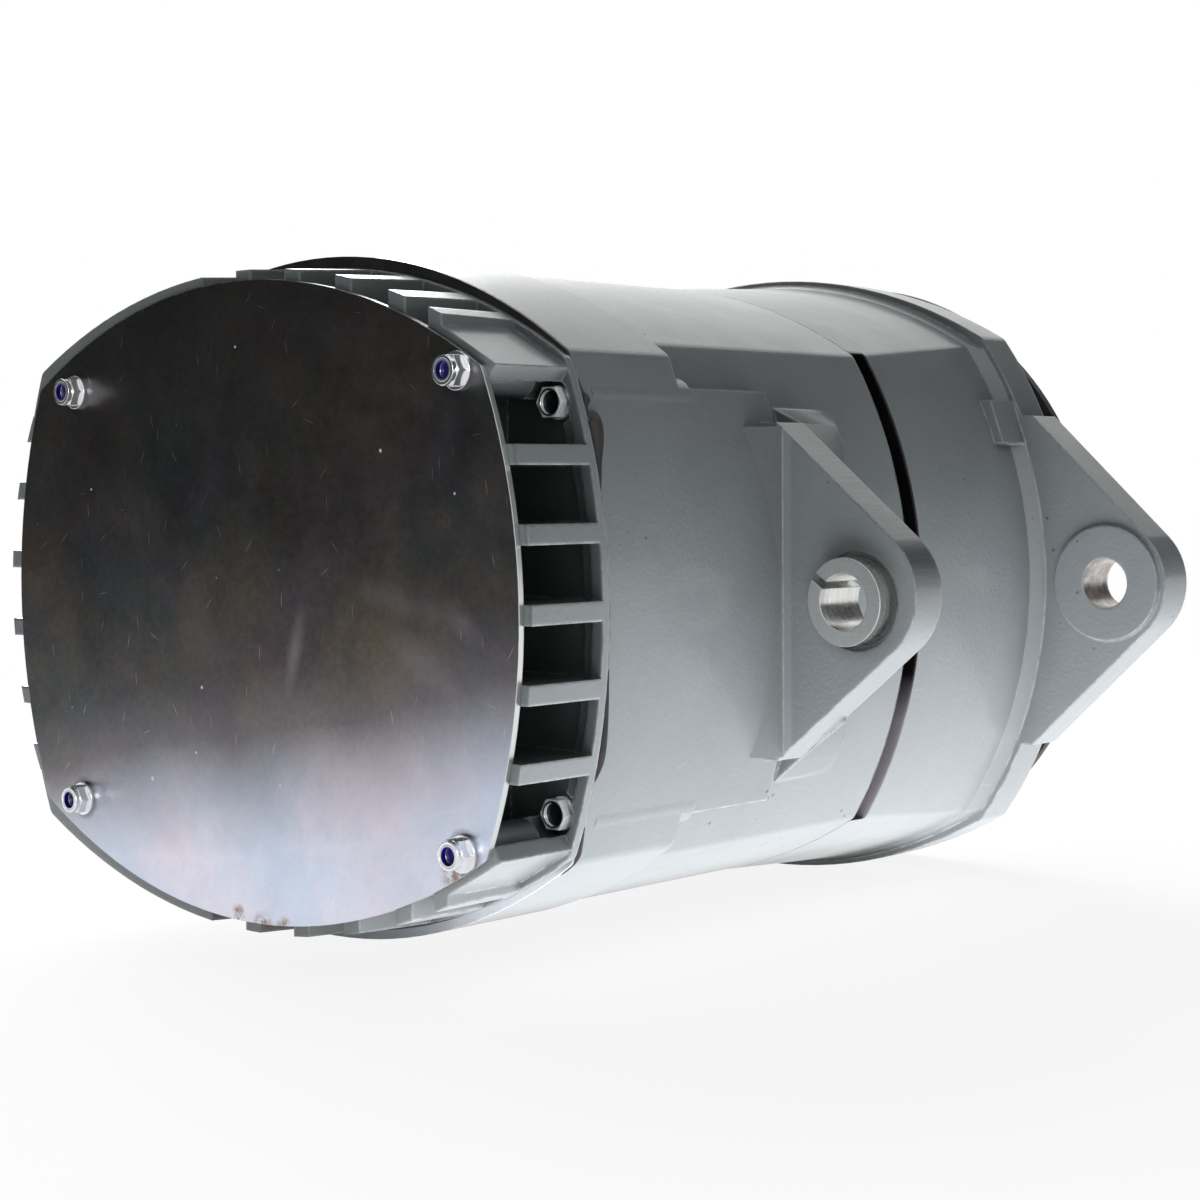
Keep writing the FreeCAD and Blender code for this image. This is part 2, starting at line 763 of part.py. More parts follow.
def bulge(inner_x, half_height, half_width, side_radius, side):
    """A band across one side of the body, bounded outside by the side's own arc."""
    def draw(sketch):
        radius = float(side_radius)
        turn = math.asin(float(half_height) / radius)
        middle = 0.0 if side > 0 else math.pi
        centre_x = (half_width - side_radius) * side
        edge = float(half_width) - radius + radius * math.cos(turn)
        ring = Part.Circle(FreeCAD.Vector(float(centre_x), 0, 0), FreeCAD.Vector(0, 0, 1), radius)
        arc = sketch.addGeometry(Part.ArcOfCircle(ring, middle - turn, middle + turn))
        first_z = -float(half_height) * side
        corners = [
            FreeCAD.Vector(edge * side, -first_z, 0), FreeCAD.Vector(float(inner_x) * side, -first_z, 0),
            FreeCAD.Vector(float(inner_x) * side, first_z, 0), FreeCAD.Vector(edge * side, first_z, 0)]
        lines = [sketch.addGeometry(Part.LineSegment(start, end))
                 for start, end in zip(corners, corners[1:])]
        for geometry, following in zip([arc] + lines, lines + [arc]):
            sketch.addConstraint(Sketcher.Constraint("Coincident", geometry, 2, following, 1))
        sketch.addConstraint(Sketcher.Constraint("PointOnObject", arc, 3, -1))
        measure(sketch, "DistanceX", (-1, 1, arc, 3), centre_x)
        measure(sketch, "Radius", (arc,), side_radius)
        measure(sketch, "DistanceY", (-1, 1, arc, 1), half_height * -side)
        measure(sketch, "DistanceY", (-1, 1, arc, 2), half_height * side)
        fix_point(sketch, lines[0], 2, (inner_x * side, half_height * side))
        fix_point(sketch, lines[1], 2, (inner_x * side, half_height * -side))
    return draw


def crescent(half_height, inner_radius, half_width, side_radius, side):
    """The cored space between the stator's seat and the wall of one side."""
    def draw(sketch):
        outer_r = float(side_radius)
        inner_r = float(inner_radius)
        centre_x = (half_width - side_radius) * side
        outer_turn = math.asin(float(half_height) / outer_r)
        inner_turn = math.asin(float(half_height) / inner_r)
        middle = 0.0 if side > 0 else math.pi
        normal = FreeCAD.Vector(0, 0, 1)
        outer_ring = Part.Circle(FreeCAD.Vector(float(centre_x), 0, 0), normal, outer_r)
        inner_ring = Part.Circle(FreeCAD.Vector(0, 0, 0), normal, inner_r)
        outer = Part.ArcOfCircle(outer_ring, middle - outer_turn, middle + outer_turn)
        inner = Part.ArcOfCircle(inner_ring, middle - inner_turn, middle + inner_turn)
        outer_arc = sketch.addGeometry(outer)
        inner_arc = sketch.addGeometry(inner)
        for end, turn in ((1, -1.0), (2, 1.0)):
            outer_end = outer.StartPoint if end == 1 else outer.EndPoint
            inner_end = inner.StartPoint if end == 1 else inner.EndPoint
            line = sketch.addGeometry(Part.LineSegment(outer_end, inner_end))
            sketch.addConstraint(Sketcher.Constraint("Coincident", outer_arc, end, line, 1))
            sketch.addConstraint(Sketcher.Constraint("Coincident", inner_arc, end, line, 2))
            measure(sketch, "DistanceY", (-1, 1, outer_arc, end), half_height * (turn * side))
            measure(sketch, "DistanceY", (-1, 1, inner_arc, end), half_height * (turn * side))
        sketch.addConstraint(Sketcher.Constraint("PointOnObject", outer_arc, 3, -1))
        measure(sketch, "DistanceX", (-1, 1, outer_arc, 3), centre_x)
        measure(sketch, "Radius", (outer_arc,), side_radius)
        sketch.addConstraint(Sketcher.Constraint("Coincident", inner_arc, 3, -1, 1))
        measure(sketch, "Radius", (inner_arc,), inner_radius)
    return draw


def combine(kind, label, base, tool):
    """Part of one form taken from, or kept inside, another."""
    result = doc.addObject(kind, label)
    result.Label = label
    result.Base = base
    result.Tool = tool
    return result


def ring_recesses():
    """The open recesses between the ring's ribs, as groups of loops that run past the outline."""
    far = s.ring_far_half_width + SPARE
    high = s.ring_half_height + SPARE
    bay_x = s.bay_half_width + s.bay_wall
    bay_z = s.bay_half_height + s.bay_wall
    side_half = s.side_rib_thickness / 2
    top_half = s.top_rib_thickness / 2
    near_side = [rectangle(-far, s.side_rib_pitch * step + side_half,
                           -bay_x, s.side_rib_pitch * (step + 1) - side_half) for step in (-2, -1, 0, 1)]
    edges = [-s.far_wall_low_z]
    for step in (-1.5, -0.5, 0.5, 1.5):
        edges.append(s.far_rib_pitch * step - side_half)
        edges.append(s.far_rib_pitch * step + side_half)
    edges.append(s.far_wall_low_z)
    far_side = [rectangle(bay_x, low, far, top) for low, top in zip(edges[0::2], edges[1::2])]
    groups = [near_side, far_side]
    slope = (s.corner_wall_low_x - s.corner_wall_high_x) / (s.corner_wall_high_z - s.corner_wall_low_z)
    inner_x = s.corner_wall_low_x - s.corner_wall_inset_x
    inner_z = s.corner_wall_low_z - s.corner_wall_inset_z
    ceiling = bay_z - s.corner_wall_floor
    corner_low_z = s.side_rib_pitch * 2 + side_half
    last_rib = s.top_rib_first + s.top_rib_pitch * 3 + top_half
    for up in (1.0, -1.0):
        edge = [rectangle(top_half - s.top_rib_first, bay_z * up, s.far_wall_end_x, high * up)]
        for step in (0, 1, 2):
            near = s.top_rib_first + s.top_rib_pitch * step + top_half
            following = s.top_rib_first + s.top_rib_pitch * (step + 1) - top_half
            edge.append(rectangle(-near, bay_z * up, -following, high * up))
        corner = [
            rectangle(-last_rib, bay_z * up, s.corner_wall_thickness - s.corner_wall_high_x, high * up),
            polygon(
                (-bay_x, corner_low_z * up), (-far, corner_low_z * up), (-far, high * up),
                (-s.corner_wall_high_x, high * up), (-s.corner_wall_high_x, s.corner_wall_high_z * up),
                (-s.corner_wall_low_x, s.corner_wall_low_z * up), (-inner_x, inner_z * up),
                (-inner_x + (ceiling - inner_z) * slope, ceiling * up), (-bay_x, ceiling * up))]
        groups += [edge, corner]
    return groups


def make_ring():
    block = blank("ring_block")
    rear = shell(s.ring_half_width, s.ring_side_radius, s.ring_rear_half_height,
                 s.ring_rear_top_radius, s.ring_corner)
    loft(block, "PartDesign::AdditiveLoft", s.plate_thickness, rear, s.joint_station, ring_shell())
    pad(block, s.plate_thickness, s.joint_station,
        bulge(s.bay_half_width, s.ring_far_half_height, s.ring_far_half_width, s.ring_far_radius, 1.0))
    pad(block, s.ledge_station, floor_end, collar_shell(s.mouth_wall + s.mouth_clearance, s.ring_corner))

    open_part = blank("ring_open_recesses")
    deep_part = blank("ring_deep_recesses")
    for group in ring_recesses():
        pad(open_part, -SPARE, s.lip_station, *group)
        pad(deep_part, -SPARE, s.floor_station, *group)
    tray = blank("ring_tray")
    pad(tray, s.plate_thickness, s.ledge_station, ring_shell(s.lip_width))
    pad(tray, s.ledge_station, s.floor_station, ring_shell(s.lip_width + s.ledge_width))

    ribbed = combine("Part::Cut", "ring_ribbed", block, open_part)
    inside = combine("Part::Common", "ring_inside", deep_part, tray)
    recessed = combine("Part::Cut", "ring_recessed", ribbed, inside)

    posts = blank("ring_posts")
    pad(posts, s.plate_thickness, s.joint_station, *[circle(x, z, s.post_radius) for x, z in stud_places()])
    posted = combine("Part::Fuse", "ring_posted", recessed, posts)

    holes = blank("ring_holes")
    pad(holes, s.plate_thickness - SPARE, floor_end + SPARE, bay_shell())
    pad(holes, s.plate_thickness - SPARE, s.plate_thickness + s.stud_depth,
        *[circle(x, z, s.stud_radius) for x, z in stud_places()])
    for start, x in ((s.plate_thickness - SPARE, s.ring_bolt_x), (s.near_socket_station, -s.ring_bolt_x)):
        pad(holes, start, s.floor_station,
            *[circle(x, z, s.ring_socket_radius) for z in (s.ring_bolt_z, -s.ring_bolt_z)])
    pad(holes, s.floor_station - 1, floor_end + SPARE,
        *[circle(x, z, s.ring_bolt_radius) for x, z in four(s.ring_bolt_x, s.ring_bolt_z)])
    ring = combine("Part::Cut", "rear_rib_ring", posted, holes)
    made.append(ring)

    bolts = new_body("ring_bolts")
    places = four(s.ring_bolt_x, s.ring_bolt_z)
    flange = s.floor_station - s.ring_bolt_flange_thickness
    head = s.floor_station - s.ring_bolt_head_height
    pad(bolts, flange, s.floor_station, *[circle(x, z, s.ring_bolt_flange_radius) for x, z in places])
    pad(bolts, head, flange, *[hexagon(x, z, s.ring_bolt_across_flats) for x, z in places])
    pad(bolts, s.floor_station, s.floor_station + s.ring_bolt_depth,
        *[circle(x, z, s.ring_bolt_radius) for x, z in places])
    pocket(bolts, head, head + s.ring_bolt_dish,
           *[circle(x, z, s.ring_bolt_dish_radius) for x, z in places])

    gasket = new_body("ring_gasket")
    pad(gasket, s.joint_station, housing_mouth, collar_shell(), collar_shell(s.gasket_width, s.ring_corner))


def terminal_placement(body, z):
    """Turn a body that is spun about Y so that it points out of the far side."""
    body.Placement = FreeCAD.Placement(
        FreeCAD.Vector(float(terminal_seat_x), float(rear_face_y - s.terminal_station), float(z)),
        FreeCAD.Rotation(FreeCAD.Vector(0, 0, 1), 90))
    tie(body, "Placement.Base.x", terminal_seat_x)
    tie(body, "Placement.Base.y", rear_face_y - s.terminal_station)
    tie(body, "Placement.Base.z", z)


def lug_gusset(up):
    """The wide end of a gusset, in front of the rear lug."""
    root_z = s.rear_lug_root_z + s.rear_lug_rise * up
    return polygon((-s.lug_inner_x, s.gusset_low_z * up), (-s.gusset_reach_x, s.gusset_low_z * up),
                   (-s.gusset_reach_x, s.gusset_reach_z * up), (-s.lug_root_x, root_z * up),
                   (-s.gusset_top_x, s.gusset_top_z * up), (-s.lug_inner_x, s.gusset_top_z * up))


def drum_gusset(up):
    """The narrow end of a gusset, level with the side of the drum."""
    middle_z = (s.gusset_end_low_z + s.gusset_top_z) / 2
    middle_x = (s.gusset_end_x + s.gusset_top_x) / 2
    return polygon((-s.lug_inner_x, s.gusset_end_low_z * up), (-s.gusset_end_x, s.gusset_end_low_z * up),
                   (s.gusset_end_drop / 4 - s.gusset_end_x,
                    (s.gusset_end_low_z + s.gusset_end_drop / 2) * up),
                   (-middle_x, middle_z * up),
                   (-s.gusset_top_x, s.gusset_top_z * up), (-s.lug_inner_x, s.gusset_top_z * up))


def make_rear_housing():
    body = new_body("rear_housing")
    pad(body, housing_mouth, s.collar_end, collar_shell())
    pad(body, s.collar_end, s.split_station, drum_shell())
    for side in (-1.0, 1.0):
        pad(body, s.collar_end, s.side_pad_end,
            bulge(s.core_outer_radius, s.side_pad_half_height,
                  s.collar_half_width, s.collar_side_radius, side))
    pad(body, s.rear_lug_station, rear_lug_end,
        nose(-s.hinge_x, s.rear_lug_rise, s.rear_lug_nose, -s.lug_root_x, s.rear_lug_root_z, -s.lug_inner_x))
    low_z, high_z = s.rear_lug_rise - s.root_wedge_half_height, s.rear_lug_rise + s.root_wedge_half_height
    loft(body, "PartDesign::AdditiveLoft",
         s.rear_lug_station - s.root_wedge_length,
         rectangle(-s.root_wedge_start_x, low_z, -s.lug_inner_x, high_z),
         s.rear_lug_station, rectangle(-s.root_wedge_x, low_z, -s.lug_inner_x, high_z))
    for up in (1.0, -1.0):
        loft(body, "PartDesign::AdditiveLoft", rear_lug_end - 1, lug_gusset(up),
             rear_lug_end + s.gusset_length, drum_gusset(up))
    # Electronics bay, bearing seat, stator seat
    pocket(body, housing_mouth, floor_end + s.mouth_floor_gap,
           collar_shell(s.mouth_wall, s.ring_corner))
    pocket(body, floor_end + s.mouth_floor_gap, s.bulkhead_station, collar_shell(s.wall, s.ring_corner))
    pad(body, rear_bearing_station - s.rear_shaft_gap - s.rear_boss_wall, s.bulkhead_station,
        circle(Size(0), Size(0), s.rear_boss_radius))
    groove(body,
           (Size(0), s.split_station), (s.core_outer_radius, s.split_station),
           (s.core_outer_radius, core_station), (s.inner_bore_radius, core_station),
           (s.inner_bore_radius, bulkhead_end), (s.rear_bearing_outer, bulkhead_end),
           (s.rear_bearing_outer, rear_bearing_station),
           (s.rear_bearing_outer - s.rear_race_thickness, rear_bearing_station),
           (s.rear_bearing_outer - s.rear_race_thickness, rear_bearing_station - s.rear_shaft_gap),
           (Size(0), rear_bearing_station - s.rear_shaft_gap))
    for side in (-1.0, 1.0):
        pocket(body, bulkhead_end + s.pocket_floor, s.split_station,
               crescent(s.pocket_half_height, s.pocket_inner_radius,
                        s.drum_half_width - s.wall, s.drum_side_radius - s.wall, side))
    # Bosses and holes
    pad(body, floor_end + s.mouth_floor_gap, s.bulkhead_station,
        *[circle(x, z, s.ring_boss_radius) for x, z in four(s.ring_bolt_x, s.ring_bolt_z)])
    pocket(body, floor_end, s.floor_station + s.ring_bolt_depth + 1,
           *[circle(x, z, s.ring_bolt_radius) for x, z in four(s.ring_bolt_x, s.ring_bolt_z)])
    pocket(body, s.bulkhead_station, s.split_station,
           *[circle(x, z, s.through_bolt_radius + s.through_bolt_clearance)
             for x, z in four(s.through_bolt_x, s.through_bolt_z)])
    pocket(body, s.rear_lug_station, rear_lug_end,
           circle(-s.hinge_x, Size(0), s.bush_radius + s.bush_clearance))
    pocket(body, s.rear_lug_station, s.rear_lug_station + s.bush_recess_depth,
           circle(-s.hinge_x, Size(0), s.bush_recess_radius))
    stand = s.bulkhead_station - s.rectifier_stand_off
    pad(body, stand, s.bulkhead_station,
        *[circle(x, z, s.rectifier_boss_radius) for x, z in rectifier_places()])
    pocket(body, stand, s.bulkhead_station + s.carrier_screw_depth / 2,
           *[circle(x, z, s.rectifier_screw_radius) for x, z in rectifier_places()])
    pocket(body, s.bulkhead_station, s.bulkhead_station + s.carrier_screw_depth - 1,
           *[circle(x, z, s.regulator_screw_radius) for x, z in regulator_places()])
    # Flat seats of the terminals on the far side
    inner_x = s.collar_half_width - s.wall
    extrude(body, "PartDesign::Pad", inner_x - 1, terminal_seat_x,
            [circle(-s.terminal_station, Size(0), s.terminal_boss_radius)], "YZ_Plane")
    extrude(body, "PartDesign::Pad", terminal_seat_x - s.ground_screw_depth - 1, terminal_seat_x,
            [circle(-s.terminal_station, -s.ground_z, s.ground_boss_radius)], "YZ_Plane")
    for start, z, radius in ((inner_x - 2, Size(0), s.insulator_radius),
                             (terminal_seat_x - s.ground_screw_depth, -s.ground_z, s.ground_screw_radius)):
        hole = extrude(body, "PartDesign::Pocket", start, terminal_seat_x,
                       [circle(-s.terminal_station, z, radius)], "YZ_Plane")
        hole.Reversed = True
    screw_hole = pocket(body, bulkhead_end - s.carrier_screw_depth, bulkhead_end,
                        circle(s.carrier_screw_circle, Size(0), s.carrier_screw_radius))
    around(body, [screw_hole], Size(4))
    return body


def rectifier_places():
    """Screws of the two rectifier plates, on bosses of the bulkhead."""
    places = []
    for up in (1.0, -1.0):
        z = (s.rectifier_high_z - s.rectifier_screw_inset) * up
        places.append((s.rectifier_screw_inset - s.rectifier_near_x, z))
        places.append((s.rectifier_far_x - s.rectifier_screw_inset, z))
    return places


def regulator_places():
    """Screws of the regulator's two ears."""
    x = -(s.regulator_low_x + s.regulator_high_x) / 2
    z = s.regulator_half_height + s.regulator_ear / 2
    return [(x, z), (x, -z)]


def make_bush():
    body = new_body("hinge_bush")
    start = s.rear_lug_station - s.bush_stick_out
    end = rear_lug_end - s.bush_front_gap
    pad(body, start, end, circle(-s.hinge_x, Size(0), s.bush_radius),
        circle(-s.hinge_x, Size(0), s.bush_bore))
    turn = math.radians(s.bush_slot_angle)
    across = (math.sin(turn) / 2, -math.cos(turn) / 2)
    out = (math.cos(turn), math.sin(turn))
    corners = []
    for distance, flip in ((s.bush_bore - 2, 1), (s.bush_radius + 2, 1),
                           (s.bush_radius + 2, -1), (s.bush_bore - 2, -1)):
        corners.append((distance * out[0] + s.bush_slot * (across[0] * flip) - s.hinge_x,
                        distance * out[1] + s.bush_slot * (across[1] * flip)))
    pocket(body, start, end, polygon(*corners))
    return body


def make_drive_housing():
    body = new_body("drive_end_housing")
    flare = shell(s.flare_half_width, s.drum_side_radius, s.flare_half_height, s.drum_top_radius,
                  s.housing_corner)
    loft(body, "PartDesign::AdditiveLoft", s.split_station, drum_shell(), flange_station, flare)
    fillet_root = shell(s.flare_half_width - s.flange_fillet_inset, s.drum_side_radius,
                        s.flare_half_height - s.flange_fillet_inset, s.drum_top_radius, s.housing_corner)
    fillet_top = shell(s.flange_fillet_half_width, s.drum_side_radius, s.flange_fillet_half_height,
                       s.drum_top_radius, s.housing_corner)
    loft(body, "PartDesign::AdditiveLoft", flange_station - s.flange_fillet_length, fillet_root,
         flange_station, fillet_top)
    pad(body, flange_station, flange_end,
        shell(s.flange_half_width, s.flange_side_radius, s.flange_half_height, s.flange_top_radius,
              s.flange_corner))
    pad(body, flange_station, flange_end,
        nose(-s.hinge_x, Size(0), s.front_lug_nose, -s.lug_root_x, s.front_lug_root_z, -s.lug_inner_x))
    pad(body, flange_station - s.lug_block_length, flange_station,
        polygon((-s.lug_inner_x, s.lug_block_low_z), (-s.lug_block_low_x, s.lug_block_low_z),
                (-s.lug_block_high_x, s.lug_block_high_z), (-s.lug_inner_x, s.lug_block_high_z)))
    pad(body, front_boss_station, flange_end, circle(-s.hinge_x, Size(0), s.hinge_boss_radius))
    pad(body, flange_station, flange_end,
        nose(s.ear_x, s.ear_z, s.ear_nose, s.lug_root_x, s.ear_root_z, s.lug_inner_x))
    pocket(body, front_boss_station, flange_end, circle(-s.hinge_x, Size(0), s.hinge_hole_radius))
    pocket(body, flange_station, flange_end, circle(s.ear_x, s.ear_z, s.ear_hole_radius))
    # Bearing seat and stator seat
    cavity_end = flange_end - s.front_wall
    groove(body,
           (Size(0), s.split_station), (s.core_outer_radius, s.split_station),
           (s.core_outer_radius, core_end), (s.inner_bore_radius, core_end),
           (s.inner_bore_radius, cavity_end), (s.front_bearing_boss, cavity_end),
           (s.front_bearing_boss, s.front_bearing_station), (s.front_bearing_outer, s.front_bearing_station),
           (s.front_bearing_outer, front_bearing_end), (s.front_lip_radius, front_bearing_end),
           (s.front_lip_radius, flange_end + 1), (Size(0), flange_end + 1))
    for side in (-1.0, 1.0):
        pocket(body, s.split_station, s.front_bearing_station,
               crescent(s.pocket_half_height, s.pocket_inner_radius,
                        s.drum_half_width - s.wall, s.drum_side_radius - s.wall, side))
        # Gap between the housings at the side, between the corners
        far = s.drum_half_width + SPARE
        pocket(body, s.split_station, groove_end,
               rectangle(s.groove_inner_x * side, -s.groove_half_height, far * side, s.groove_half_height))
    pocket(body, s.split_station, s.split_station + s.through_bolt_reach + 1,
           *[circle(x, z, s.through_bolt_radius) for x, z in four(s.through_bolt_x, s.through_bolt_z)])
    # Recess round the front boss, with ribs left across it
    front = flange_end - s.front_recess_depth
    pocket(body, front, flange_end, circle(Size(0), Size(0), s.front_recess_outer),
           circle(Size(0), Size(0), s.front_boss_radius))
    rib = pad(body, front, flange_end,
              rectangle(s.front_boss_radius - 1, -s.front_rib_thickness / 2,
                        s.front_recess_outer + 1, s.front_rib_thickness / 2))
    around(body, [rib], s.front_rib_count)
    screw_hole = pocket(body, s.front_bearing_station, s.front_bearing_station + s.retainer_screw_depth,
                        circle(s.retainer_screw_circle, Size(0), s.retainer_screw_radius))
    around(body, [screw_hole], Size(4))
    return body


def make_stator():
    core = new_body("stator_core")
    sleeve(core, s.core_inner_radius, s.core_outer_radius, core_station, core_end)
    half = s.slot_width / 2
    slot = pocket(core, core_station, core_end,
                  rectangle(s.core_inner_radius - 2, -half, s.slot_depth_radius, half))
    around(core, [slot], s.slot_count)

    winding = new_body("stator_winding")
    outer = s.slot_depth_radius - s.bar_clearance
    sleeve(winding, s.winding_inner_radius, outer, core_station - s.winding_overhang, core_station)
    sleeve(winding, s.winding_inner_radius, outer, core_end, core_end + s.winding_overhang)
    half = half - s.bar_clearance
    bar = pad(winding, core_station - 1, core_end + 1,
              rectangle(s.winding_inner_radius + 1, -half, outer - 0.1, half))
    around(winding, [bar], s.slot_count)

    bolts = new_body("through_bolts")
    places = four(s.through_bolt_x, s.through_bolt_z)
    pad(bolts, s.bulkhead_station - s.through_bolt_head_height, s.bulkhead_station,
        *[hexagon(x, z, s.through_bolt_head_radius * 2 / ACROSS_CORNERS) for x, z in places])
    pad(bolts, s.bulkhead_station, s.split_station + s.through_bolt_reach,
        *[circle(x, z, s.through_bolt_radius) for x, z in places])


def make_bearing(name, station, outer, inner, width, race, ball_radius, count):
    """A deep groove ball bearing: two grooved races, the balls and their cage."""
    end = station + width
    middle = station + width / 2
    pitch = (outer + inner) / 2
    groove_radius = ball_radius + s.race_groove_clearance
    for label, low, high in (("%s_outer_race" % name, outer - race, outer),
                             ("%s_inner_race" % name, inner, inner + race)):
        ring = new_body(label)
        sleeve(ring, low, high, station, end)
        sketch = new_sketch(ring, "XY_Plane")
        circle(pitch, -middle, groove_radius)(sketch)
        cut = ring.newObject("PartDesign::Groove", "Groove")
        cut.Profile = sketch
        cut.ReferenceAxis = (sketch, ["V_Axis"])
        cut.Angle = FULL_TURN
    balls = new_body("%s_balls" % name)
    one = ball(balls, ball_radius, pitch, middle)
    around(balls, [one], count)
    cage = new_body("%s_cage" % name)
    half = s.cage_thickness / 2
    reach = width / 2 - s.cage_clearance
    sleeve(cage, pitch - half, pitch + half, middle - reach, middle + reach)
    hole = extrude(cage, "PartDesign::Pocket", pitch - s.cage_thickness, pitch + s.cage_thickness,
                   [circle(-middle, Size(0), groove_radius)], "YZ_Plane")
    hole.Reversed = True
    around(cage, [hole], count)


def make_bearings():
    make_bearing("front_bearing", s.front_bearing_station, s.front_bearing_outer, s.front_bearing_inner,
                 s.front_bearing_width, s.front_race_thickness, s.front_ball_radius, s.front_ball_count)
    make_bearing("rear_bearing", rear_bearing_station, s.rear_bearing_outer, s.rear_bearing_inner,
                 s.rear_bearing_width, s.rear_race_thickness, s.rear_ball_radius, s.rear_ball_count)
    start = s.front_bearing_station - s.retainer_thickness
    retainer = new_body("bearing_retainer")
    sleeve(retainer, s.front_bearing_outer - s.front_race_thickness, s.front_bearing_boss,
           start, s.front_bearing_station)
    hole = pocket(retainer, start, s.front_bearing_station,
                  circle(s.retainer_screw_circle, Size(0), s.retainer_screw_radius))
    around(retainer, [hole], Size(4))
    screws = new_body("retainer_screws")
    head = pad(screws, start - s.retainer_screw_radius, start,
               circle(s.retainer_screw_circle, Size(0), s.retainer_screw_radius * 2))
    shank = pad(screws, start, s.front_bearing_station + s.retainer_screw_depth - 1,
                circle(s.retainer_screw_circle, Size(0), s.retainer_screw_radius))
    around(screws, [head, shank], Size(4))


def make_shaft():
    shaft = new_body("rotor_shaft")
    edge = s.shaft_edge
    shoulder = seat_station - s.spacer_seat_gap
    revolve(shaft,
            (Size(0), rear_bearing_station), (s.rear_bearing_inner - edge, rear_bearing_station),
            (s.rear_bearing_inner, rear_bearing_station + edge),
            (s.rear_bearing_inner, bulkhead_end), (s.front_bearing_inner, bulkhead_end),
            (s.front_bearing_inner, collar_station), (s.shaft_collar_radius, collar_station),
            (s.shaft_collar_radius, s.front_bearing_station),
            (s.front_bearing_inner, s.front_bearing_station),
            (s.front_bearing_inner, front_bearing_end), (s.spacer_seat_radius, front_bearing_end),
            (s.spacer_seat_radius, shoulder), (s.pulley_seat_radius, shoulder),
            (s.pulley_seat_radius, seat_end), (s.thread_radius, seat_end),
            (s.thread_radius, shaft_end - edge), (s.thread_radius - edge, shaft_end),
            (Size(0), shaft_end))
    middle = seat_station + s.pulley_seat_length / 2
    extrude(shaft, "PartDesign::Pocket", -s.key_width / 2, s.key_width / 2,
            [circle(-middle, s.pulley_seat_radius + s.key_above, s.key_radius)], "YZ_Plane").Reversed = True

    spacer = new_body("fan_spacer")
    sleeve(spacer, s.spacer_seat_radius + s.bore_clearance, s.spacer_radius, front_bearing_end, s.fan_station)


def make_fan():
    body = new_body("cooling_fan")
    sleeve(body, s.spacer_seat_radius + s.bore_clearance, s.fan_radius, s.fan_station, fan_end)
    lean = math.radians(s.fan_blade_lean)
    length = s.fan_radius - s.fan_blade_root - 1
    half = s.fan_blade_thickness / 2
    along = (math.cos(lean), math.sin(lean))
    corners = []
    for distance, flip in ((Size(0), -1.0), (length, -1.0), (length, 1.0), (Size(0), 1.0)):
        corners.append((s.fan_blade_root + distance * along[0] - half * (along[1] * flip),
                        distance * along[1] + half * (along[0] * flip)))
    blade = pad(body, s.fan_station - s.fan_blade_depth, s.fan_station, polygon(*corners))
    around(body, [blade], s.fan_blade_count)


def wedge(half_width):
    """The end of one claw, wider in radius than the turned pole."""
    return rectangle(s.claw_inner_radius - 2, -half_width, s.rotor_radius + 4, half_width)


def claws(body, start, end, tip):
    """Lobes on a pole's disc between start and end, each with a claw that narrows to its tip."""
    root = end if float(tip) > float(end) else start
    lobe = pad(body, start, end, rectangle(s.pole_disc_radius - 4, -s.claw_root_half_width,
                                           s.rotor_radius + 4, s.claw_root_half_width))
    low, high = (root, tip) if float(tip) > float(root) else (tip, root)
    widths = (s.claw_root_half_width, s.claw_tip_half_width)
    first, last = widths if float(tip) > float(root) else widths[::-1]
    claw = loft(body, "PartDesign::AdditiveLoft", low, wedge(first), high, wedge(last))
    around(body, [lobe, claw], s.claw_count)
    groove(body, (s.rotor_radius, start - SPARE * 2), (s.rotor_radius + 9, start - SPARE * 2),
           (s.rotor_radius + 9, end + SPARE * 2), (s.rotor_radius, end + SPARE * 2))
    return low, high


def make_poles():
    front = new_body("rotor_pole_front")
    sleeve(front, s.front_bearing_inner, s.pole_disc_radius, front_pole_station, collar_station)
    low, high = claws(front, front_pole_station, collar_station, rear_pole_end + s.claw_tip_gap)
    groove(front, (s.claw_inner_radius - 9, low - 1), (s.claw_inner_radius, low - 1),
           (s.claw_inner_radius, high), (s.claw_inner_radius - 9, high))
    sleeve(front, s.front_bearing_inner, s.pole_hub_radius, s.rear_pole_station + s.claw_inner_gap,
           front_pole_station)

    rear = new_body("rotor_pole_rear")
    sleeve(rear, s.rear_pole_bore, s.claw_inner_radius + 1, s.rear_pole_station, rear_pole_end)
    low, high = claws(rear, s.rear_pole_station, rear_pole_end, front_pole_station - s.claw_tip_gap)
    groove(rear, (Size(0), s.rear_pole_station - 1), (s.rear_pole_bore, s.rear_pole_station - 1),
           (s.rear_pole_bore, rear_pole_end), (s.claw_inner_radius, rear_pole_end),
           (s.claw_inner_radius, high + 1), (Size(0), high + 1))
    turn = HALF_TURN / s.claw_count
    rear.Placement = FreeCAD.Placement(
        FreeCAD.Vector(0, float(rear_face_y), 0),
        FreeCAD.Rotation(FreeCAD.Vector(0, 1, 0), float(turn)))

    ring = new_body("pole_joining_ring")
    middle = (rear_pole_end + front_pole_station) / 2
    sleeve(ring, s.claw_inner_radius - s.joining_ring_thickness, s.claw_inner_radius,
           middle - s.joining_ring_width / 2, middle + s.joining_ring_width / 2)


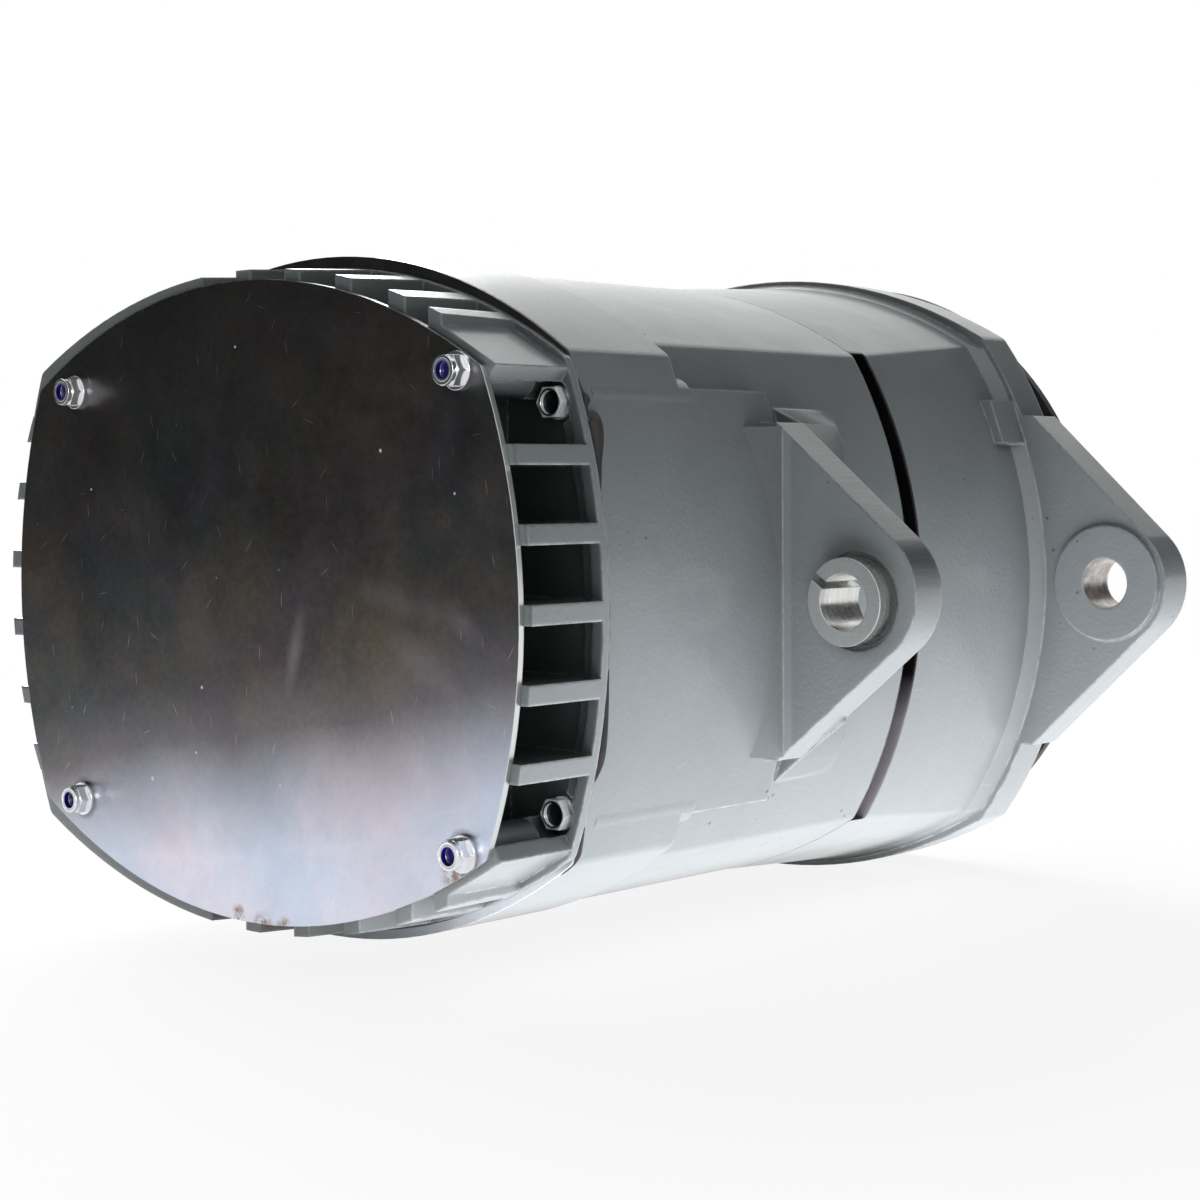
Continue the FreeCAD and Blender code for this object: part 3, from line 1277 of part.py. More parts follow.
def make_field():
    carrier = new_body("coil_carrier")
    flange_front = carrier_station + s.carrier_flange_thickness
    disc = s.rear_pole_bore - s.carrier_air_gap
    sleeve_end = front_pole_station - s.coil_end_gap
    revolve(carrier,
            (sleeve_inner_radius, carrier_station), (s.carrier_flange_radius, carrier_station),
            (s.carrier_flange_radius, flange_front), (s.carrier_neck_radius, flange_front),
            (s.carrier_neck_radius, s.rear_pole_station), (disc, s.rear_pole_station),
            (disc, rear_pole_end), (s.carrier_sleeve_radius, rear_pole_end),
            (s.carrier_sleeve_radius, sleeve_end), (sleeve_inner_radius, sleeve_end))
    hole = pocket(carrier, carrier_station, flange_front,
                  circle(s.carrier_screw_circle, Size(0), s.carrier_screw_radius))
    around(carrier, [hole], Size(4))

    coil = new_body("field_coil")
    sleeve(coil, s.carrier_sleeve_radius, s.coil_outer_radius, rear_pole_end, sleeve_end - 1)

    screws = new_body("carrier_screws")
    head = pad(screws, flange_front, flange_front + s.carrier_screw_radius,
               circle(s.carrier_screw_circle, Size(0), s.carrier_screw_radius * s.screw_head_ratio))
    shank = pad(screws, carrier_station - s.carrier_screw_depth, flange_front,
                circle(s.carrier_screw_circle, Size(0), s.carrier_screw_radius))
    around(screws, [head, shank], Size(4))


def make_electronics():
    stand = s.bulkhead_station - s.rectifier_stand_off
    diode_x = [(s.rectifier_far_x - s.rectifier_near_x) / 2 + s.diode_pitch * step for step in (-1, 0, 1)]
    diode_z = (s.rectifier_low_z + s.rectifier_high_z) / 2
    levels = {1.0: stand - s.rectifier_insulator, -1.0: stand}
    labels = {1.0: "rectifier_plate_positive", -1.0: "rectifier_plate_negative"}
    for up, end in levels.items():
        body = new_body(labels[up])
        low, high = sorted((s.rectifier_low_z * up, s.rectifier_high_z * up))
        pad(body, end - s.rectifier_thickness, end,
            rectangle(-s.rectifier_near_x, low, s.rectifier_far_x, high))
        pocket(body, end - s.rectifier_thickness, end,
               *[circle(x, diode_z * up, s.diode_radius) for x in diode_x],
               *[circle(x, z, s.rectifier_screw_radius) for x, z in rectifier_places()
                 if float(z) * up > 0])
    diodes = new_body("rectifier_diodes")
    for up, end in levels.items():
        pad(diodes, end - s.rectifier_thickness - s.diode_height, end,
            *[circle(x, diode_z * up, s.diode_radius) for x in diode_x])
    upper = [place for place in rectifier_places() if float(place[1]) > 0]
    lower = [place for place in rectifier_places() if float(place[1]) < 0]
    insulators = new_body("rectifier_insulators")
    pad(insulators, stand - s.rectifier_insulator, stand,
        *[circle(x, z, s.rectifier_boss_radius) for x, z in upper],
        *[circle(x, z, s.rectifier_screw_radius) for x, z in upper])
    screws = new_body("rectifier_screws")
    for places, end in ((upper, levels[1.0]), (lower, levels[-1.0])):
        seat = end - s.rectifier_thickness
        pad(screws, seat - s.rectifier_screw_radius, seat,
            *[circle(x, z, s.rectifier_screw_radius * s.screw_head_ratio) for x, z in places])
        pad(screws, seat, s.bulkhead_station,
            *[circle(x, z, s.rectifier_screw_radius) for x, z in places])
    strap = new_body("output_strap")
    plate_rear = levels[1.0] - s.rectifier_thickness
    head_x = terminal_seat_x - s.insulator_barrel - s.output_head_thickness
    pad(strap, plate_rear - s.strap_thickness, plate_rear,
        rectangle(s.rectifier_far_x - s.strap_lap, -s.strap_half_width,
                  head_x, s.rectifier_low_z + s.strap_lap))

    regulator = new_body("voltage_regulator")
    block = rectangle(-s.regulator_high_x, -s.regulator_half_height,
                      -s.regulator_low_x, s.regulator_half_height)
    ear_z = s.regulator_half_height + s.regulator_ear
    pad(regulator, s.bulkhead_station - s.regulator_thickness, s.bulkhead_station, block)
    pad(regulator, s.bulkhead_station - s.regulator_ear_thickness, s.bulkhead_station,
        rectangle(-s.regulator_high_x, -ear_z, -s.regulator_low_x, ear_z))
    pocket(regulator, s.bulkhead_station - s.regulator_ear_thickness, s.bulkhead_station,
           *[circle(x, z, s.regulator_screw_radius) for x, z in regulator_places()])
    fixings = new_body("regulator_screws")
    seat = s.bulkhead_station - s.regulator_ear_thickness
    pad(fixings, seat - s.regulator_screw_radius, seat,
        *[circle(x, z, s.regulator_screw_radius * s.screw_head_ratio) for x, z in regulator_places()])
    pad(fixings, seat, s.bulkhead_station + s.carrier_screw_depth - 1,
        *[circle(x, z, s.regulator_screw_radius) for x, z in regulator_places()])


def make_terminals():
    barrel = -s.insulator_barrel
    flange = s.insulator_flange_thickness
    washer_end = flange + s.output_washer_thickness
    nut_end = washer_end + s.output_nut_height
    stud = new_body("output_stud")
    revolve(stud, (Size(0), barrel - s.output_head_thickness),
            (s.output_head_radius, barrel - s.output_head_thickness), (s.output_head_radius, barrel),
            (s.output_stud_radius, barrel), (s.output_stud_radius, nut_end),
            (s.output_tip_radius, nut_end), (s.output_tip_radius, s.output_stud_length - 1),
            (s.output_tip_radius - 1, s.output_stud_length), (Size(0), s.output_stud_length))
    insulator = new_body("output_insulator")
    revolve(insulator, (s.output_stud_radius, barrel), (s.insulator_radius, barrel),
            (s.insulator_radius, Size(0)), (s.insulator_flange_radius, Size(0)),
            (s.insulator_flange_radius, flange), (s.output_stud_radius, flange))
    washer = new_body("output_washer")
    sleeve(washer, s.output_stud_radius, s.output_washer_radius, flange, washer_end)
    nut = new_body("output_nut")
    pad(nut, washer_end, nut_end,
        hexagon(Size(0), Size(0), s.output_nut_across_flats),
        circle(Size(0), Size(0), s.output_stud_radius))
    for body in (stud, insulator, washer, nut):
        terminal_placement(body, Size(0))
    ground = new_body("ground_screw")
    pad(ground, Size(0), s.ground_screw_head_height,
        hexagon(Size(0), Size(0), s.ground_screw_head_radius * 2 / ACROSS_CORNERS))
    pad(ground, -s.ground_screw_depth, Size(0), circle(Size(0), Size(0), s.ground_screw_radius))
    terminal_placement(ground, -s.ground_z)


def find_faults():
    """Every object that failed to build, and every sub-part without a sound shape."""
    faults = []
    for item in doc.Objects:
        if "Invalid" in item.State or "Error" in item.State:
            faults.append("%s: %s" % (item.Label, item.State))
    for item in made:
        if item.Shape.isNull() or not item.Shape.isValid() or item.Shape.Volume <= 0:
            faults.append("%s: no sound shape" % item.Label)
    return faults


make_cover()
make_ring()
make_rear_housing()
make_bush()
make_drive_housing()
make_stator()
make_bearings()
make_shaft()
make_fan()
make_poles()
make_field()
make_electronics()
make_terminals()
doc.recompute()

faults = find_faults()
if faults:
    raise RuntimeError("; ".join(faults))

os.makedirs("parts", exist_ok=True)
for item in made:
    item.Shape.exportStep("parts/%s.step" % item.Label)
    print("%-26s %3d solids %12.1f mm3" % (item.Label, len(item.Shape.Solids), item.Shape.Volume))
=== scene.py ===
import json
import math
import bmesh
import bpy
from mathutils import Matrix, Vector
from mathutils.bvhtree import BVHTree


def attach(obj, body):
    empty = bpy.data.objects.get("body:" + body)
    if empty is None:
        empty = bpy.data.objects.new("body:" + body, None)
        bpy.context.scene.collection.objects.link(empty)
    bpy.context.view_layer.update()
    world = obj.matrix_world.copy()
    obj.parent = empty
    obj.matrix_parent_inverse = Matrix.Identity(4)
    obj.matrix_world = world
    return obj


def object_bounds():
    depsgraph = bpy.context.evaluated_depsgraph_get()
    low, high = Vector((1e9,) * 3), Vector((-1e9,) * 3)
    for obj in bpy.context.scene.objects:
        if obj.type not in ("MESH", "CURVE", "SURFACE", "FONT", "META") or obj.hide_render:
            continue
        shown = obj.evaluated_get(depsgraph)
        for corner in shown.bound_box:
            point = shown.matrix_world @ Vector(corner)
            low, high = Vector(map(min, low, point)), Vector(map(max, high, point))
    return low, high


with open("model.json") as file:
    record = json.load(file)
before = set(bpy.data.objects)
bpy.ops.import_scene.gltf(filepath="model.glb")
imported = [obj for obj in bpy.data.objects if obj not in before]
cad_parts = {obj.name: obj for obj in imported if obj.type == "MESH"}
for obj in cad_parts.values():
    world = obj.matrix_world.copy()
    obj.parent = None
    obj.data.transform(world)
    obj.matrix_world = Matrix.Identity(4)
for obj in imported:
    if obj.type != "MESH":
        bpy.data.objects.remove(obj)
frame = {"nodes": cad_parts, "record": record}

cad_low, cad_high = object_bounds()

# The camera of the photograph, in metres and degrees. The rear of the alternator faces +Y.
CAMERA_PLACE = Vector((-0.42016, 0.60143, 0.02691))
CAMERA_YAW = 42.257
CAMERA_PITCH = -2.878
CAMERA_ROLL = -0.448
CAMERA_LENS = 68.14
FILM_WIDTH = 36.0

# The studio: a white surrounding, a pale floor, dark cards that only reflections see, and lamps
STUDIO_SIZE = 8.0
WORLD_STRENGTH = 0.30
# The floor's share of plain white by distance: near, far, share when near, share when far
FLOOR_FADE = (0.30, 0.80, 0.88, 1.0)
FLOOR_GAP = 0.0002
# One card faces the cover plate, the other the side with the lugs: name, place, width, height
FLAGS = [("plate_flag", (0.42, 0.75, 0.52), 1.5, 1.2),
         ("side_flag", (-0.75, -0.78, 0.72), 1.7, 1.3)]
# The lamps, with their power in watts
SOFTBOX_PLACE = (1.00, -0.25, 0.62)
SOFTBOX_TARGET = (0.0, 0.10, 0.0)
SOFTBOX_SIZE = (1.0, 1.3)
SOFTBOX_POWER = 35.5
KICKER_PLACE = (-0.62, 0.52, 0.16)
KICKER_TARGET = (0.0, 0.20, 0.0)
KICKER_SIZE = (0.22, 0.30)
KICKER_POWER = 3.2
# The table light lies just above the floor
TABLE_LIGHT_PLACE = (-0.140, 0.13, cad_low.z + 0.0006)
TABLE_LIGHT_SIZE = (0.18, 0.34)
TABLE_LIGHT_POWER = 0.80
TABLE_LIGHT_COLOUR = (0.93, 0.93, 1.0)

# Places on the alternator that a finish follows, in metres. A pair is where a soft mask starts and
# ends, and SHARP is half the width of a mask's crisp edge.
SHARP = 0.0001
COVER_Y = 0.264
JOINT_Y = 0.2379
SEAM_Y = 0.124
SEAM_HALF_WIDTH = 0.00025
SEAM_SOFT = 0.00015
GROOVE_FRONT_Y = 0.1186
GROOVE_MARGIN = 0.0004
GROOVE_HALF_HEIGHT = 0.0605
GROOVE_FADE_Z = (-0.034, -0.022)
NUT_PLACES = [(-0.0737, 0.0515), (0.0642, 0.0515), (0.0642, -0.0515), (-0.0737, -0.0515)]
NUT_DARK_RING_RADIUS = 0.0050
INSERT_RADIUS = 0.0021
RING_BOLT_PLACES = [(side * 0.0785, up * 0.0452) for side in (-1.0, 1.0) for up in (-1.0, 1.0)]
BOLT_DISH_RADIUS = 0.0031
# The eyes of the two lugs: the bush's seat, the dirt and painted shade round it, and the front
# lug's bare hole
HINGE_X = -0.114
SEAT_REACH = (0.0165, 0.0200)
BUSH_DIRT_AND_SHADE_REACH = (0.0110, 0.0150)
BUSH_FACE_Y = (0.1740, 0.1758)
HOLE_REACH = (0.00665, 0.00675)
FRONT_LUG_Y = (0.066, 0.068)
# The rear lug: its slopes, its narrow edge at the tip, and the fillet where it stands on the side
LUG_FRONT_Y = 0.1662
LUG_REAR_Y = 0.1772
LUG_TIP_REAR_Y = 0.1768
LUG_SOFT = 0.0002
LUG_SHADED_SLOPE_X = (-0.0885, -0.0865)
LUG_TIP_X = (-0.1000, -0.0960)
LUG_GROUND_Z = (-0.012, 0.004)
FILLET_X = (-0.0952, -0.0926)
FILLET_Y = (0.1766, 0.1774)
FILLET_Z = (-0.037, 0.040)
BY_LUG_Y = (0.120, 0.186)
BY_LUG_X = (-0.084, -0.081)
# Its root behind it and its gussets in front, which follow the curves of the collar and the drum
ROOT_Y = (0.1771, 0.1865)
ROOT_X = (-0.0840, -0.0835)
ROOT_END_Z = (0.0405, 0.0420)
COLLAR_SIDE_MIDDLE_X = 0.0547
GUSSET_Y = (0.1430, 0.1664)
GUSSET_X = (-0.0815, -0.0810)
GUSSET_Z = (0.024, 0.048)
DRUM_SIDE_MIDDLE_X = 0.0200
DRUM_SIDE_REACH = (0.1122, 0.1126)

# Scratches in the paint and on the cover: cells per metre, length, width, share of cells, strength
PAINT_MARKS = [(40.0, 0.0070, 0.00010, 0.50, 1.0), (90.0, 0.0030, 0.00008, 0.35, 1.0)]
COVER_MARKS = [(62.0, 0.0050, 0.00010, 0.45, 0.55), (120.0, 0.0022, 0.00009, 0.50, 0.60),
               (36.0, 0.0100, 0.00007, 0.35, 0.40)]
# The cover's tone changes with height, on a slope that rises towards the side with the lugs; the
# change is partly a painted reflection of dark surroundings above and the pale floor below
COVER_TILT = 0.17
COVER_LEVEL_X = 0.065
COVER_TOP_Z = (0.010, 0.055)
COVER_MIDDLE_Z = (-0.059, -0.027)
COVER_PALE_Z = (-0.068, -0.042)
COVER_GRAIN_Z = (-0.058, -0.030)
# Violet and dark patches over its brown: noise scale and roughness, from, to, strength, colour
COVER_PATCHES = [(26.0, 0.65, 0.50, 0.66, 0.7, (0.155, 0.122, 0.150)),
                 (48.0, 0.70, 0.48, 0.72, 0.6, (0.085, 0.082, 0.085))]
# Wiped places on the cover: x, z, turn in degrees, half length, half width, strength
SMEARS = [(-0.0190, -0.0100, 75.0, 0.012, 0.003, 0.50),
          (-0.0560, 0.0015, -14.0, 0.024, 0.004, 0.34),
          (-0.0740, -0.0020, -40.0, 0.008, 0.004, 0.50),
          (-0.0620, -0.0120, -35.0, 0.018, 0.006, 0.26),
          (-0.0680, 0.0350, 70.0, 0.014, 0.005, 0.16),
          (-0.0400, 0.0570, -19.0, 0.048, 0.008, 0.10),
          (0.0250, 0.0050, -50.0, 0.030, 0.010, 0.12)]
# Rust on the cover: x, z, radius
RUST = [(-0.0700, -0.0570, 0.0030), (-0.0745, -0.0556, 0.0028), (0.0030, -0.0740, 0.0022),
        (-0.0060, -0.0762, 0.0032), (-0.0140, -0.0758, 0.0028)]
# Bright specks on the cover: x, z, radius
SPECKS = [(-0.0488, 0.0350, 0.0004), (0.0156, -0.0206, 0.0004), (0.0357, -0.0442, 0.0005),
          (0.0182, -0.0365, 0.0003), (-0.0720, 0.0255, 0.0003), (0.0010, 0.0600, 0.0003),
          (-0.0130, -0.0420, 0.0003), (0.0590, 0.0270, 0.0003)]
# Sealant squeezed out of the ring's joint: runs of (height, radius) along the side with the lugs.
# Each lump is sunk into the housing and set in front of the joint by a share of its radius.
SEALANT_RUNS = [[(0.0500, 0.0003), (0.0470, 0.0004), (0.0457, 0.0016), (0.0442, 0.0005),
                 (0.0427, 0.0006), (0.0419, 0.0021), (0.0406, 0.0025), (0.0382, 0.0024),
                 (0.0352, 0.0018), (0.0322, 0.0011), (0.0290, 0.0006), (0.0255, 0.0002)],
                [(-0.0130, 0.0003), (-0.0200, 0.0007), (-0.0270, 0.0011), (-0.0320, 0.0013),
                 (-0.0350, 0.0010), (-0.0375, 0.0003)],
                [(-0.0480, 0.0003), (-0.0520, 0.0008), (-0.0560, 0.0010), (-0.0590, 0.0003)]]
SEALANT_SINK = 0.4
SEALANT_FORWARD = 0.9
SEALANT_GAP = 0.0002
SEALANT_PAINTED_Z = (-0.060, -0.052)
# The side of the housing is looked for from this x, at this y
SIDE_FROM_X = -0.12
SIDE_Y = JOINT_Y - 0.0010

# Steel with turning lines: dark tone, light tone, lines per metre, roughness
TURNED_STEELS = {
    "bush_steel": ((0.66, 0.66, 0.64), (0.84, 0.84, 0.82), 1400.0, 0.26),
    "bearing_steel": ((0.55, 0.55, 0.56), (0.70, 0.70, 0.72), 1500.0, 0.18),
    "machined_steel": ((0.38, 0.38, 0.39), (0.52, 0.52, 0.53), 1100.0, 0.3),
}
# Plain finishes: two tones, noise scale, roughness, metallic
PLAIN_FINISHES = {
    "winding_copper": ((0.32, 0.10, 0.03), (0.45, 0.17, 0.06), 90.0, 0.35, 1.0),
    "fan_black": ((0.012, 0.013, 0.014), (0.03, 0.032, 0.034), 40.0, 0.4, 0.0),
    "heat_sink": ((0.50, 0.51, 0.52), (0.62, 0.63, 0.64), 50.0, 0.4, 1.0),
    "diode_can": ((0.42, 0.42, 0.40), (0.55, 0.55, 0.53), 120.0, 0.3, 1.0),
    "insulator_black": ((0.012, 0.012, 0.013), (0.028, 0.028, 0.03), 110.0, 0.5, 0.0),
    "brass": ((0.42, 0.29, 0.11), (0.55, 0.40, 0.17), 140.0, 0.3, 1.0),
}


class Finish:
    """A node material whose patterns lie on Object coordinates, in metres."""

    def __init__(self, name, roughness=0.5, metallic=0.0):
        self.material = bpy.data.materials.new(name)
        self.material.use_nodes = True
        self.tree = self.material.node_tree
        self.shader = self.tree.nodes["Principled BSDF"]
        self.shader.inputs["Roughness"].default_value = roughness
        self.shader.inputs["Metallic"].default_value = metallic
        place = self.node("ShaderNodeTexCoord")
        self.place = place.outputs["Object"]
        self.facing = place.outputs["Normal"]

    def node(self, kind, **settings):
        made = self.tree.nodes.new(kind)
        for name, value in settings.items():
            setattr(made, name, value)
        return made

    def put(self, value, socket):
        """Link a socket, or set a plain value."""
        if isinstance(value, bpy.types.NodeSocket):
            self.tree.links.new(value, socket)
        elif socket.type == "RGBA":
            socket.default_value = (*value, 1.0)
        else:
            socket.default_value = value

    def set(self, name, value):
        """Give one of the shader's own sockets a pattern."""
        self.put(value, self.shader.inputs[name])

    # Numbers and vectors

    def number(self, kind, first, second):
        made = self.node("ShaderNodeMath", operation=kind)
        self.put(first, made.inputs[0])
        self.put(second, made.inputs[1])
        return made.outputs["Value"]

    def chain(self, kind, values):
        total = values[0]
        for value in values[1:]:
            total = self.number(kind, total, value)
        return total

    def add(self, *values):
        return self.chain("ADD", values)

    def times(self, *values):
        return self.chain("MULTIPLY", values)

    def most(self, *values):
        return self.chain("MAXIMUM", values)

    def outside(self, mask):
        """1 where the mask is 0."""
        return self.number("SUBTRACT", 1.0, mask)

    def positive(self, value):
        return self.number("ABSOLUTE", value, 0.0)

    def vector(self, kind, first, second, result="Vector"):
        made = self.node("ShaderNodeVectorMath", operation=kind)
        self.put(first, made.inputs[0])
        self.put(second, made.inputs[1])
        return made.outputs[result]

    def unit(self, value):
        return self.vector("NORMALIZE", value, (0.0, 0.0, 0.0))

    def length(self, value):
        return self.vector("LENGTH", value, (0.0, 0.0, 0.0), "Value")

    def axis(self, name, of=None):
        parts = self.node("ShaderNodeSeparateXYZ")
        self.put(self.place if of is None else of, parts.inputs["Vector"])
        return parts.outputs[name]

    def flat(self):
        """The place without its Y."""
        return self.vector("MULTIPLY", self.place, (1.0, 0.0, 1.0))

    def reach(self, x, z):
        """Distance from an axis that runs along Y."""
        return self.vector("DISTANCE", self.flat(), (x, 0.0, z), "Value")

    def around(self, middle_x):
        """The way out from an axis that runs along Y at the given x."""
        return self.unit(self.vector("SUBTRACT", self.flat(), (middle_x, 0.0, 0.0)))

    # Masks

    def span(self, value, low, high, first=0.0, last=1.0):
        """A value stretched from one range to another and kept inside it."""
        made = self.node("ShaderNodeMapRange")
        for socket, number in zip(made.inputs[:5], (value, low, high, first, last)):
            self.put(number, socket)
        return made.outputs["Result"]

    def fall(self, value, low, high, full=1.0):
        """The full strength below a value, and 0 above another."""
        return self.span(value, low, high, full, 0.0)

    def band(self, value, low, high, soft):
        """1 between two values, with soft ends."""
        rise = self.span(value, low - soft, low + soft)
        return self.times(rise, self.fall(value, high - soft, high + soft))

    def spots(self, places, soft=0.3):
        """1 within each given x, z and radius, seen along Y."""
        return self.most(*(self.fall(self.reach(x, z), size * (1.0 - soft), size * (1.0 + soft))
                           for x, z, size in places))

    def edges(self, radius):
        """1 along the edges of the form, otherwise 0."""
        soft = self.node("ShaderNodeBevel", samples=6)
        soft.inputs["Radius"].default_value = radius
        true = self.node("ShaderNodeNewGeometry").outputs["True Normal"]
        turn = self.vector("DOT_PRODUCT", soft.outputs["Normal"], true, "Value")
        return self.span(turn, 0.985, 0.9)

    def crevices(self, reach, low, high):
        """1 deep in the recesses, 0 where the surface is open."""
        shade = self.node("ShaderNodeAmbientOcclusion", samples=6, only_local=False)
        shade.inputs["Distance"].default_value = reach
        return self.fall(shade.outputs["AO"], low, high)

    # Patterns

    def noise(self, scale, detail=3.0, roughness=0.5, at=None):
        made = self.node("ShaderNodeTexNoise")
        self.put(self.place if at is None else at, made.inputs["Vector"])
        made.inputs["Scale"].default_value = scale
        made.inputs["Detail"].default_value = detail
        made.inputs["Roughness"].default_value = roughness
        return made.outputs["Fac"]

    def streaks(self, scale, detail, roughness=0.5):
        """Noise with a scale of its own along each axis."""
        mapping = self.node("ShaderNodeMapping")
        self.put(self.place, mapping.inputs["Vector"])
        mapping.inputs["Scale"].default_value = scale
        return self.noise(1.0, detail, roughness, at=mapping.outputs["Vector"])

    def cells(self, scale):
        """A Voronoi pattern, one point in each cell."""
        made = self.node("ShaderNodeTexVoronoi")
        self.put(self.place, made.inputs["Vector"])
        made.inputs["Scale"].default_value = scale
        return made

    def dots(self, scale, low, high, full=1.0):
        """A round dot in each cell."""
        return self.fall(self.cells(scale).outputs["Distance"], low, high, full)

    def marks(self, scale, length, width, share, strength):
        """Short thin scratches at random turns, at most one in each cell."""
        cell = self.cells(scale)
        middle = cell.outputs["Position"]
        turned = self.node("ShaderNodeVectorRotate", rotation_type="EULER_XYZ")
        self.put(self.place, turned.inputs["Vector"])
        self.put(middle, turned.inputs["Center"])
        # The cell's own colour gives the turn, in radians
        turn = self.vector("MULTIPLY", cell.outputs["Color"], (6.0, 6.0, 6.0))
        self.put(turn, turned.inputs["Rotation"])
        away = self.vector("SUBTRACT", turned.outputs["Vector"], middle)
        shaped = self.vector("DIVIDE", away, (length, length, width))
        thin = self.fall(self.length(shaped), 0.5, 1.0, strength)
        chosen = self.span(self.axis("Y", cell.outputs["Color"]), 1.0 - share, 1.02 - share)
        return self.times(thin, chosen)

    # Colour and relief

    def mix(self, factor, first, second):
        made = self.node("ShaderNodeMix", data_type="RGBA", blend_type="MIX")
        self.put(factor, made.inputs[0])
        self.put(first, made.inputs[6])
        self.put(second, made.inputs[7])
        return made.outputs[2]

    def relief(self, *layers, edge=0.0, flows=()):
        """Bumps of the given depths in metres, over edges softened by a small radius.

        Each flow is a mask and the way that the surface faces inside it.
        """
        normal = None
        if edge:
            soft = self.node("ShaderNodeBevel", samples=6)
            soft.inputs["Radius"].default_value = edge
            normal = soft.outputs["Normal"]
        for mask, way in flows:
            turned = self.node("ShaderNodeMix", data_type="VECTOR")
            self.put(mask, turned.inputs[0])
            self.put(normal, turned.inputs[4])
            self.put(way, turned.inputs[5])
            normal = self.unit(turned.outputs[1])
        for height, depth in layers:
            bump = self.node("ShaderNodeBump")
            bump.inputs["Strength"].default_value = 1.0
            bump.inputs["Distance"].default_value = depth
            self.put(height, bump.inputs["Height"])
            if normal is not None:
                self.put(normal, bump.inputs["Normal"])
            normal = bump.outputs["Normal"]
        self.set("Normal", normal)


